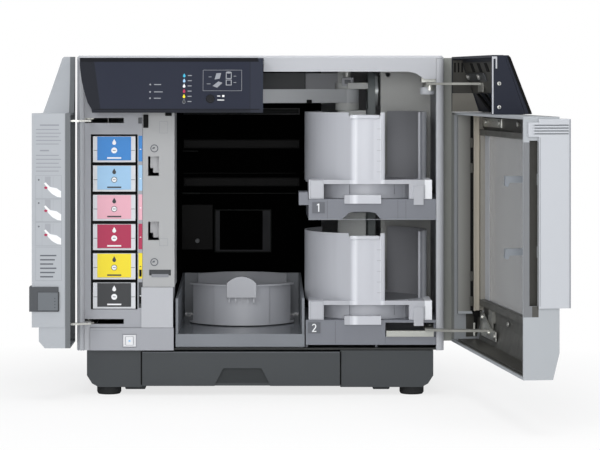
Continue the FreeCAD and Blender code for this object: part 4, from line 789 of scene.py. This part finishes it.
# Inside of the cap: its end wall, slotted plates, pad, wires and screws.
capWall = 186.0
capPlates = {
    "cap_wall_low": {
        "outlines": [[(-2.6, 290.2), (-30.6, 290.2), (-24.2, 309.4), (-2.6, 309.4)]],
        "depth": (capWall - 0.8, capWall), "finish": greyBrown},
    "cap_plate": {
        "outlines": [
            [(-3.0, 309.8), (-24.0, 309.8), (-13.6, 339.0), (-13.6, 343.6), (-3.0, 343.6)]
        ],
        "depth": (capWall - 1.0, capWall), "finish": tarnished},
    "cap_plate_slots": {"boxes": [(y - 1.6, y, 331.0, 341.0) for y in (-4.4, -8.2, -12.0)],
        "depth": (capWall - 1.3, capWall - 0.8), "finish": "black"},
}
drawPieces(capPlates, endSlab)
capSheets = {
    "cap_sheet": {"box": (22, 180, 309.8, 341.0), "depth": (1.2, 0.4), "finish": tarnished},
    "cap_sheet_slots": {"boxes": [(x, x + 12, 331.0, 340.0) for x in (40, 72, 104, 136)],
        "depth": (1.5, 0.8), "finish": "black"},
    "cap_pad": {"box": (96, 178, 321.4, 330.0), "depth": (3.0, 1.0), "finish": "dark_metal",
        "bevel": 0.0006},
}
for index, x in enumerate((168.0, 118.0)):
    capSheets["cap_bolt_%d" % index] = {"outlines": [roundOutline(x, 326.0, 2.6, 16)],
        "depth": (5.2, 2.8), "finish": screw, "bevel": 0.0005}
capWires = [
    [(150, 309.0), (158, 309.0), (124, 291.0), (112, 291.0)],
    [(120, 309.0), (126, 309.0), (96, 291.0), (88, 291.0)]
]
capSheets["cap_wires"] = {"outlines": capWires, "depth": (4.0, 1.0), "finish": "black",
    "bevel": 0.0008}
drawPieces(capSheets, skinSlab)
capTrim = [(-3.8, -2.5, 290.4, 345.6), (-7.4, -3.8, 343.4, 345.6), (-7.4, -6.0, 334.0, 343.4)]
drawPieces({"cap_edge_trim": {"boxes": capTrim}}, endSlab, depth=(3.3, 4.0), finish="case")
for index, z in enumerate((319.5, 296.8)):
    screwHead("cap_screw_%d" % index, -9.6, z, 2.0, 4.0, "disc_door", endSpot)


# Navy shell on the cap's leaning outer face, with a black edge at its end.
capSkin = {
    "cap_skin": {
        "outlines": [[
            (-35.2, 290.0), (-42.0, 290.0), (-21.0, 344.6), (-19.0, 346.8), (-13.8, 346.8),
            (-16.0, 344.8)
        ]],
        "depth": (4.0, 187.0), "finish": "navy", "bevel": 0.0006},
    "cap_skin_edge": {
        "outlines": [[
            (-39.0, 290.6), (-41.8, 290.6), (-20.8, 344.4), (-18.8, 346.4), (-17.4, 345.0),
            (-18.0, 344.0)
        ]],
        "depth": (3.5, 4.0), "finish": "black"},
}
drawPieces(capSkin, endSlab)


# Painted shade in the handle's four finger grooves, and rims along its edges.
handleFace = -123.4
handleGrooves = {
    "handle_groove_lines": {
        "boxes": [(-43.9, -12.4, z + 0.1, z + 1.0) for z in (273.6, 276.2, 278.8, 281.4)],
        "depth": (handleFace + 0.45, handleFace + 0.8), "ink": "grip"},
    "handle_rims": {"boxes": [(-45.6, -44.7, 116.2, 287.4), (-17.6, -17.2, 118.0, 270.8)],
        "depth": (handleFace - 0.3, handleFace + 0.1), "finish": "mid_grey"},
}
drawPieces(handleGrooves, endSlab)


# Dark bracket and funnel below the seal, on the cover's hinge end.
coverLowEnd = {
    "cover_end_plate": {"box": (-33.0, -17.0, 56.0, 83.6), "depth": (184.6, 185.8),
        "finish": tarnished},
    "cover_funnel": {
        "outlines": [[
            (-20.0, 84.4), (-31.0, 84.4), (-30.4, 80.6), (-26.4, 77.4), (-25.4, 62.0),
            (-23.4, 60.0), (-22.2, 63.0), (-22.6, 78.0)
        ]],
        "depth": (171.0, 173.4), "finish": "black", "bevel": 0.0005},
    "cover_funnel_strap": {"box": (-23.4, -21.4, 58.0, 72.0), "depth": (169.6, 170.8),
        "finish": screw, "bevel": 0.0004},
}
drawPieces(coverLowEnd, endSlab)


def inkLabel():
    # Printed strip with plain frames, rules and generic marks; its wording is left out.
    left = -37.2
    right = -11.0
    frames = []
    for low, high in ((203.6, 227.0), (180.4, 203.2), (156.2, 180.0), (121.2, 155.0)):
        frames += frameOutlines(left, right, low, high, 0.25)
    rules = [(left + 4.4, right - 2.6, 276.9, 278.3), (left + 4.4, right - 12.6, 251.3, 252.7)]
    for top, step in ((273.2, 3.65), (247.2, 3.95)):
        for row in range(5):
            z = top - step * row
            rules.append((left + 0.4, right - 0.6 - 2.2 * ((row + 1) % 2), z - 0.4, z + 0.4))
    listed = []
    for row in range(6):
        z = 146.4 - 4.26 * row
        listed.append((left + 4.6, right - 5.2 - 1.6 * (row % 3), z - 0.7, z + 0.7))
    pieces = {
        "ink_label_frames": {"outlines": frames, "depth": (-0.1, 0.2), "ink": "grey"},
        "ink_label_rules": {"boxes": rules, "depth": (-0.1, 0.2), "ink": "grey"},
        "ink_label_list": {"boxes": listed, "depth": (-0.1, 0.2), "ink": "dark"},
    }
    for index, low in enumerate((203.6, 180.4, 156.2)):
        grips = [
            (left + 6.4, left + 6.7, low + 0.4, low + 22.4),
            (left + 9.4, left + 15.2, low + 12.6, low + 22.2),
            (right - 8.6, right - 8.3, low + 12.4, low + 22.4)
        ]
        hand = [
            (left + 8.6, 15.6), (left + 10.2, 16.4), (left + 14.6, 11.8), (right - 5.0, 10.6),
            (right - 0.4, 7.4), (right - 0.4, 1.2), (right - 4.4, 1.8), (right - 9.4, 4.6),
            (left + 13.0, 8.4)
        ]
        pieces["ink_label_cells_%d" % index] = {"boxes": grips, "depth": (-0.05, 0.2),
            "ink": "pale"}
        pieces["ink_label_shape_%d" % index] = {"outlines": [[(y, low + z) for y, z in hand]],
            "depth": (-0.14, 0.2), "ink": "white"}
        pieces["ink_label_dot_%d" % index] = {
            "outlines": [roundOutline(left + 10.4, low + 11.0, 1.7, 14, 1.3)],
            "depth": (-0.2, 0.2), "ink": "magenta"}
    dots = [roundOutline(left + 3.2, low, 0.9, 12) for low in (222.6, 199.2, 175.6)]
    pieces["ink_label_cell_marks"] = {"outlines": dots, "depth": (-0.12, 0.2), "ink": "dark"}
    drawPieces(pieces, inkSlab)


latchMarks = {
    "latch_face": {"box": (-34.6, -14.6, 91.4, 109.4), "depth": (-2.1, -1.6), "ink": "grip"},
    "latch_edge": {"box": (-14.4, -13.2, 90.6, 110.0), "depth": (-2.14, -1.6), "ink": "black"},
    "latch_dots": {
        "outlines": [roundOutline(-17.6, z, 0.5, 10) for z in (94.4, 97.4, 100.4, 103.4)],
        "depth": (-2.2, -1.6), "ink": "black"},
}


inkLabel()
drawPieces(latchMarks, inkSlab, body="ink_door_latch")
print("cover details done")


def hoodFinish():
    # Navy hood: a slightly lighter inner face between the swept end and the end seam; in metres.
    hood = {
        "foot": 0.290, "sweep": 0.16, "border": (-0.1612, -0.1600), "rise": (0.2925, 0.2945),
        "seam": (-0.0108, -0.0100, 0.0002), "end": (-0.0104, -0.0100),
        "groove": (-0.1612, -0.1604, 0.0002)
    }
    material, tree, surface, spot, axes = newMaterial("hood_plastic")
    fine = noise(tree, spot, 0.0005, 2)
    broad = noise(tree, spot, 0.08, 3)
    border = axes[0] + (axes[2] - hood["foot"]) * hood["sweep"]
    inner = border.above(*hood["border"])
    foot = 1.0 - axes[2].above(*hood["rise"])
    seam = axes[0].inside(*hood["seam"])
    end = axes[0].above(*hood["end"])
    tone = layered(
        tree, "0d1018", (inner * (1.0 - foot), "1c2131"), (end * 0.5, "2c303c"),
        (seam * 0.6, "12141a"), (broad * 0.25 + fine * 0.1, "2e323f")
    )
    surface.inputs["Specular IOR Level"].default_value = 0.25
    finishSurface(
        tree, surface, tone, 0.42 + broad * 0.08,
        fine - border.inside(*hood["groove"]) * 0.8, 0.15, 0.0002
    )
    return material


def coverFinish():
    # Case plastic with dark zones inside, partly its dark steel lining and partly painted shade
    # deep in the cover, and painted shade on the pane side, cheek, rim, hooks, end wall and rail;
    # in metres in the closed cover's axes.
    zone = {
        "slant": (0.0530, 0.0775), "skin": (-0.0351, -0.0347), "mouth": (-0.0040, -0.0036),
        "width": (-0.1190, 0.1743), "deep": (-0.0275, -0.0270), "paneLow": (0.0962, 0.0964),
        "shelf": (0.0885, 0.0887), "paneHigh": (0.2656, 0.2658), "paneSide": (0.1676, 0.1678),
        "end": (-0.1211, -0.1209), "endDepth": (-0.0165, -0.0010), "endHeight": (0.1080, 0.2665),
        "rail": (-0.0106, -0.0104), "cheek": (0.1736, 0.1756), "rim": (0.1758, 0.1890),
        "hooks": (-0.1127, -0.1069)
    }
    material, tree, surface, spot, axes = newMaterial("disc_cover_shell")
    fine = noise(tree, spot, 0.0006, 2)
    broad = noise(tree, spot, 0.06, 3)
    darkZoneMottle = noise(tree, spot, 0.012, 4)
    pinX, pinY, degrees = hinges["disc"]
    turn = math.radians(degrees)
    run = axes[0] - pinX / 1000
    deep = axes[1] - pinY / 1000
    east = run * math.cos(turn) + deep * math.sin(turn) + pinX / 1000
    north = deep * math.cos(turn) - run * math.sin(turn) + pinY / 1000
    height = axes[2]
    slant = (1.0 - height.above(*zone["slant"])) * 0.0060
    inner = (north - slant).above(*zone["skin"]) * east.inside(*zone["width"])
    inner = inner * (1.0 - north.above(*zone["mouth"]))
    deepIn = 1.0 - north.above(*zone["deep"])
    abovePane = height.above(*zone["paneLow"])
    shelf = 1.0 - (1.0 - deepIn) * height.above(*zone["shelf"])
    low = inner * (1.0 - abovePane) * shelf
    high = inner * deepIn * height.above(*zone["paneHigh"])
    side = inner * east.above(*zone["paneSide"]) * deepIn * abovePane
    end = 1.0 - east.above(*zone["end"])
    end = end * north.inside(*zone["endDepth"]) * height.inside(*zone["endHeight"])
    rail = end * (1.0 - north.above(*zone["rail"]))
    cheek = east.inside(*zone["cheek"]) * north.above(-0.0195, -0.0193)
    rim = east.inside(*zone["rim"]) * north.above(-0.0050, -0.0046)
    hooks = east.inside(*zone["hooks"]) * north.above(-0.0334, -0.0330)
    levels = height.inside(0.1500, 0.1735) + height.inside(0.2160, 0.2395)
    # Painted shade over the case tone: pane side, cheek gradient, rim, hooks, end wall, rail, and
    # the dark zones low and high.
    tone = layered(
        tree, mix(tree, broad * 0.3, "a6aaae", "9a9ea2"), (side, "8d8a83"),
        (
            cheek * height.inside(0.0835, 0.2895),
            mix(tree, north.above(-0.0190, -0.0030), "605f5b", "9a9b97")
        ),
        (rim * height.inside(0.0535, 0.3460), "7e807e"), (hooks * levels, "757a80"),
        (end, "727477"), (rail, "454440"), (low + high, mix(tree, darkZoneMottle, "2c2c2a", "6a6a66"))
    )
    finishSurface(tree, surface, tone, 0.5, fine, 0.2, 0.0001)
    return material


def towerFinish():
    # Painted column at the left, plated sheet at the right.
    material, tree, surface, spot, axes = newMaterial("tower_sheet")
    fine = noise(tree, spot, 0.001, 3)
    plated = axes[0].above(0.1150, 0.1160)
    tone = mix(tree, plated, "e8ebe9", "b4b5b3")
    tone = mix(tree, fine * 0.2, tone, "8a8b86")
    finishSurface(tree, surface, tone, 0.42 + fine * 0.1, fine, 0.15, 0.0001)
    feed(tree, surface.inputs["Metallic"], plated * 0.15)
    return material


def driveFinish():
    # Painted black towards the disc bay: the drives' black faces and painted shade on the case
    # edges round them; bare metal cases behind them.
    material, tree, surface, spot, axes = newMaterial("drive_case")
    fine = noise(tree, spot, 0.0008, 3)
    behind = axes[1].above(0.226, 0.228)
    tone = mix(tree, behind, "030303", "9d9e9b")
    surface.inputs["Specular IOR Level"].default_value = 0.1
    finishSurface(
        tree, surface, mix(tree, fine * behind * 0.15, tone, "5a5b5a"), 0.55 + fine * 0.15,
        fine, 0.2, 0.0001
    )
    feed(tree, surface.inputs["Metallic"], behind * 0.7)
    return material


def stackerFinish():
    # Satin silver-grey drum with faint upright draw lines; painted light on its flat front with two
    # painted highlight bands, painted shade on its inside and a painted highlight on its right
    # edge; in metres.
    drum = {
        "x": 0.1106, "y": 0.0663, "wall": (0.0616, 0.0622), "front": (0.0040, 0.0050),
        "flat": (0.0915, 0.1275), "leftHighlight": (0.0945, 0.0990, 0.0015),
        "rightHighlight": (0.1235, 0.1262, 0.0012)
    }
    material, tree, surface, spot, axes = newMaterial("stacker_satin")
    fine = noise(tree, spot, 0.0004, 2)
    drawn = noise(tree, spot, 0.006, 4, (1, 1, 0.03))
    length = distance(tree, axes[0] - drum["x"], axes[1] - drum["y"])
    inside = (1.0 - length.above(*drum["wall"])) * axes[1].above(0.02, 0.03)
    flat = (1.0 - axes[1].above(*drum["front"])) * axes[0].inside(*drum["flat"])
    leftHighlight = axes[0].inside(*drum["leftHighlight"])
    rightHighlight = axes[0].inside(*drum["rightHighlight"])
    # Painted light and shade: lighter flat front, highlight bands, darker inside, bright right
    # edge.
    tone = layered(
        tree, mix(tree, drawn * 0.5 + fine * 0.1, "aeb0b6", "c0c2c9"), (flat, "c6c8cf"),
        ((leftHighlight + rightHighlight) * flat, "e0e2e8"), (inside, "a0a1a6"),
        (axes[0].above(0.1680, 0.1690) * (1.0 - inside), "eef0f4")
    )
    finishSurface(tree, surface, tone, 0.33 + drawn * 0.08, fine + drawn * 0.4, 0.12, 0.0002)
    surface.inputs["Specular IOR Level"].default_value = 0.55
    return material


def trayFinish():
    # Polished floor, grained walls.
    material, tree, surface, spot, axes = newMaterial("tray_plastic")
    fine = noise(tree, spot, 0.0006, 2)
    broad = noise(tree, spot, 0.05, 3)
    raised = axes[2].above(0.0625, 0.064)
    tone = mix(tree, broad * 0.6 + fine * 0.2, "6f7379", "82868c")
    finishSurface(
        tree, surface, tone, 0.16 + raised * 0.3 + broad * 0.05, fine * raised, 0.2, 0.0001
    )
    return material


special = {
    "control_panel": hoodFinish(),
    "disc_drive_1": driveFinish(),
    "stacker_1": stackerFinish(),
    "tray_3": trayFinish(),
    "arm_carriage": moulded("carriage_plastic", "dadcda", 0.45, 0.0006, 0.2, 0.05),
    # Frame plate and power panel: case plastic darkened as painted shade of their recess.
    "ink_frame": moulded("frame_plate_shaded", "a3a5ab", 0.5, 0.0006, 0.22, 0.04),
    "ink_cover": shadedCase("ink_cover_shell", "abafb4", "63676a", -0.1968),
    # Pillar: case plastic slightly darkened, painted shade.
    "pillar": moulded("pillar_plastic_shaded", "adaeaf", 0.5, 0.0006, 0.22, 0.04),
    "disc_cover": coverFinish(),
    "arm_tower": towerFinish(),
    "drive_wall": moulded("bay_wall_black", "020202", 0.9, 0.0008, 0.3, 0.1, 0.02),
    "disc_cover_arms": sheetMetal("cover_arm_steel", "8d8d88", 0.4, (1, 1, 0.2), 0.5),
    "transfer_arm": moulded("arm_plastic_light", "d0d3d6", 0.46, 0.0007, 0.25, 0.06),
    "lift_drum": sheetMetal("drum_steel", "c3c8c9", 0.3, (0.1, 1, 1), 0.25),
    # Deck plate darkened: painted shade in the gap above the drawer and on the bay floor.
    "deck_plate": sheetMetal("deck_steel_shaded", "333534", 0.5, (0.2, 1, 1), 0.2),
    # Printer chassis and print tray darkened: painted shade inside the machine.
    "printer_chassis": sheetMetal("chassis_shaded", "242525", 0.6, (1, 1, 0.2), 0.2),
    "print_tray": moulded("print_tray_shaded", "141616", 0.6, 0.0008, 0.25, 0.1, 0.1),
    "lift_belt": moulded("belt_grey", "878e8f", 0.5, 0.001, 0.2, 0.08),
    "guide_rod": sheetMetal("guide_steel", "d6d8d4", 0.4, (1, 1, 0.05), 0.3),
    "hinge_brackets": sheetMetal("bracket_steel", "a5a6a1", 0.3, (1, 1, 0.2), 0.6),
}
special["disc_drive_2"] = special["disc_drive_1"]
# The power panel shares the frame plate's painted shade.
special["power_panel"] = special["ink_frame"]
special["stacker_2"] = special["stacker_1"]
for node, material in special.items():
    paint(frame["nodes"][node], material)


# Faint mouldings on the black rear wall of the disc bay; its label place is bare.
bayWall = 216.8
wallEdge = moulded("wall_edge", "171918", 0.6, 0.0008, 0.25, 0.1, 0.1)
bayWallDetails = {
    "bay_wall_lines": {"boxes": [(-88.0, 40.0, 195.9, 196.7), (-86.0, 40.0, 218.6, 219.0)],
        "depth": (bayWall - 1.2, bayWall + 0.3), "finish": wallEdge},
    "bay_wall_ledges": {"boxes": [(-87.0, -68.0, 195.6, 197.0), (-87.0, -70.0, 243.0, 244.0)],
        "depth": (bayWall - 3.5, bayWall + 0.3), "finish": wallEdge},
    "bay_wall_box": {"box": (-88.4, -53.0, 133.0, 184.0), "depth": (bayWall - 4.0, bayWall + 0.3),
        "finish": "black", "bevel": 0.0008},
    "bay_label_frame": {"outlines": frameOutlines(-51.4, 12.4, 130.0, 178.2, 1.4),
        "depth": (bayWall - 1.0, bayWall + 0.3), "finish": wallEdge, "bevel": 0.0003},
    "bay_label_plate": {"box": (-50.0, 11.0, 131.4, 176.8), "depth": (bayWall - 0.3, bayWall + 0.3),
        "finish": "navy_key"},
    "bay_box_knob": {"outlines": [roundOutline(-70.4, 143.4, 2.6, 16)],
        "depth": (bayWall - 5.4, bayWall - 3.9), "finish": "dark_grey", "bevel": 0.0004},
    "bay_upper_plate": {"box": (0.0, 50.0, 313.0, 331.0), "depth": (bayWall - 3.0, bayWall + 0.3),
        "finish": "dark_grey"},
    "bay_upper_light": {"outlines": [[(50.4, 298.0), (88.0, 298.0), (88.0, 331.0), (50.4, 331.0)]],
        "depth": (bayWall - 3.4, bayWall + 0.3), "finish": "case", "bevel": 0.0006},
}
drawPieces(bayWallDetails)


armDetails = {
    "arm_sensor": {"box": (50.6, 56.4, 297.6, 301.4), "depth": (158.0, 163.5), "finish": "black",
        "body": "arm", "bevel": 0.0004},
    "carriage_switch": {"box": (89.6, 102.4, 316.2, 326.0), "depth": (171.5, 173.8),
        "finish": "case", "bevel": 0.0006},
    "carriage_switch_lens": {"box": (92.6, 99.4, 318.8, 323.4), "depth": (171.0, 171.6),
        "finish": "dark_metal"},
}
drawPieces(armDetails, body="carriage")


def stackerDetails():
    for name, body, low in (("1", "drum_stacker_1", 220.7), ("2", "drum_stacker_2", 96.8)):
        pieces = {
            "stacker_ticks_": {
                "boxes": [(119.4, 123.4, low + z, low + z + 0.35) for z in (8, 19, 30, 41, 52)],
                "depth": (2.28, 2.6), "ink": "pale"},
            "stacker_seams_": {
                "boxes": [(x, x + 0.4, low - 15.2, low - 5.0) for x in (91.4, 137.4)],
                "depth": (8.9, 10.0), "ink": "dark"},
            "stacker_lip_": {"box": (91.6, 122.4, low + 62.4, low + 66.6), "depth": (1.2, 3.4),
                "finish": special["stacker_1"], "bevel": 0.0010},
            "stacker_block_line_": {
                "outlines": frameOutlines(51.2, 64.4, low - 18.8, low - 0.6, 0.3),
                "depth": (2.0, 2.4), "ink": "grey"},
            "stacker_block_seams_": {
                "boxes": [(x, x + 0.4, low - 18.8, low - 5.2) for x in (147.0, 168.4)],
                "depth": (2.0, 2.4), "ink": "grey"},
        }
        drawPieces(pieces, ending=name, body=body)


stackerDetails()


shelfDetails = {
    "shelf_seams": {
        "boxes": [
            (68.4, 68.8, 181.0, 200.0), (140.6, 141.0, 181.0, 200.0), (148.8, 149.2, 181.0, 200.0),
            (76.6, 77.0, 53.0, 76.0), (127.6, 128.0, 53.0, 59.4)
        ],
        "depth": (1.1, 1.5), "ink": "dark"},
    "shelf_edge_light": {"box": (49.8, 178.6, 180.0, 180.5), "depth": (1.1, 1.4), "ink": "grey"},
}
drawPieces(shelfDetails)


def planSpot(x, level, y):
    # Outlines seen from above, between two levels.
    return place(x, y, level)


# Painted shade in the gaps round the drawer front and in its grip recess, the small inner feet and
# the hinge cup.
gripShade = moulded("grip_shade", "2b2f31", 0.6, 0.0008, 0.3, 0.06)
baseDetails = {
    "drawer_top_line": {"box": (-120.6, 80.9, 43.6, 44.1), "depth": (1.86, 2.1), "ink": "dark",
        "body": "drawer_4"},
    "base_gaps": {"boxes": [(-122.7, -121.2, 10.4, 44.6), (81.5, 83.0, 10.4, 44.6)],
        "depth": (4.8, 5.2), "finish": "black"},
    "drawer_grip_shade": {"outlines": [[(-46.4, 12.2), (-37.8, 28.4), (0.8, 28.4), (9.4, 12.2)]],
        "depth": (4.4, 4.7), "finish": gripShade, "body": "drawer_4"},
    "small_feet": {"boxes": [(-139.0, -118.0, 5.2, 10.0), (115.4, 132.8, 5.2, 10.0)],
        "depth": (9.0, 30.0), "finish": gripShade, "bevel": 0.0012},
}
drawPieces(baseDetails)
hingeCup = [roundOutline(172.4, 23.5, 7.3, 28)]
slab("hinge_cup", hingeCup, 308.0, 316.0, finishes["case_light"], spot=planSpot, bevel=0.0012)
print("inner details done")

# Camera, backdrop and light.
view = {
    "x": -0.0244, "y": -2.386, "z": 0.322, "yaw": 0.0, "pitch": 0.0, "lens": 134.8,
    "shift": (0.066, -0.24)
}
cameraData = bpy.data.cameras.new("camera")
camera = bpy.data.objects.new("camera", cameraData)
bpy.context.collection.objects.link(camera)
cameraData.lens = view["lens"]
cameraData.clip_end = 30
cameraData.shift_x, cameraData.shift_y = view["shift"]
camera.location = (view["x"], view["y"], view["z"])
camera.rotation_euler = (math.radians(90 + view["pitch"]), 0, math.radians(-view["yaw"]))
bpy.context.scene.camera = camera


def whiteStage():
    # A large floor that takes the soft shadow and looks white to the camera.
    stage = {"half": 8.0, "drop": 0.0002, "reach": (1.5, 1.2), "fade": (0.2, 0.42), "glow": 0.75}
    data = bpy.data.meshes.new("floor")
    half = stage["half"]
    data.from_pydata(
        [(-half, -half, 0), (half, -half, 0), (half, half, 0), (-half, half, 0)], [], [(0, 1, 2, 3)]
    )
    floor = bpy.data.objects.new("floor", data)
    floor.location.z = -stage["drop"]
    bpy.context.collection.objects.link(floor)
    material, tree, surface, spot, axes = newMaterial("floor_white")
    grain = noise(tree, spot, 0.2, 2)
    finishSurface(tree, surface, (0.9, 0.9, 0.9), 0.9 + grain * 0.05, grain, 0.01, 0.0001)
    surface.inputs["Specular IOR Level"].default_value = 0.0
    rays = addNode(tree, "ShaderNodeLightPath")
    seen = Field(tree, rays.outputs["Is Camera Ray"])
    across, deep = stage["reach"]
    away = distance(tree, axes[0] / across, axes[1] / deep).above(*stage["fade"])
    glow = addNode(tree, "ShaderNodeEmission", {}, {"Color": (1.0, 1.0, 1.0)})
    share = (away * (1 - stage["glow"]) + stage["glow"]) * seen
    blend = addNode(tree, "ShaderNodeMixShader", {}, [share])
    tree.links.new(surface.outputs[0], blend.inputs[1])
    tree.links.new(glow.outputs[0], blend.inputs[2])
    tree.links.new(blend.outputs[0], tree.nodes["Material Output"].inputs[0])
    paint(floor, material)


def backdropWorld():
    world = bpy.data.worlds.new("studio")
    bpy.context.scene.world = world
    world.use_nodes = True
    tree = world.node_tree
    tree.nodes.clear()
    rays = addNode(tree, "ShaderNodeLightPath")
    seen = Field(tree, rays.outputs["Is Camera Ray"])
    soft = addNode(tree, "ShaderNodeBackground", {}, {"Color": (0.95, 0.97, 1.0)})
    soft.inputs["Strength"].default_value = 0.42
    plain = addNode(tree, "ShaderNodeBackground", {}, {"Color": (1.0, 1.0, 1.0)})
    plain.inputs["Strength"].default_value = 1.0
    choose = addNode(tree, "ShaderNodeMixShader", {}, [seen])
    tree.links.new(soft.outputs[0], choose.inputs[1])
    tree.links.new(plain.outputs[0], choose.inputs[2])
    end = addNode(tree, "ShaderNodeOutputWorld")
    tree.links.new(choose.outputs[0], end.inputs[0])


lights = {
    "key": {"at": (-1.3, -2.2, 1.7), "size": 1.2, "power": 15.5},
    "fill": {"at": (1.8, -1.8, 0.9), "size": 1.6, "power": 10.5},
    "front": {"at": (-0.1, -2.6, 0.45), "size": 0.5, "power": 8.0},
    "low": {"at": (0.12, -1.7, 0.1), "size": 0.5, "power": 1.2},
    "bay": {"at": (0.03, -0.75, 0.34), "size": 0.16, "power": 0.5},
    "top": {"at": (0.1, -0.3, 2.2), "size": 1.6, "power": 21},
}


def addLights():
    middle = Vector((0.01, -0.05, 0.18))
    for name, lamp in lights.items():
        data = bpy.data.lights.new(name, "AREA")
        data.shape = "DISK"
        data.size = lamp["size"]
        data.energy = lamp["power"]
        obj = bpy.data.objects.new(name, data)
        obj.location = lamp["at"]
        obj.rotation_euler = (middle - Vector(lamp["at"])).to_track_quat("-Z", "Y").to_euler()
        bpy.context.collection.objects.link(obj)


whiteStage()
backdropWorld()
addLights()
bpy.context.scene.view_settings.view_transform = "Standard"
print("scene done")
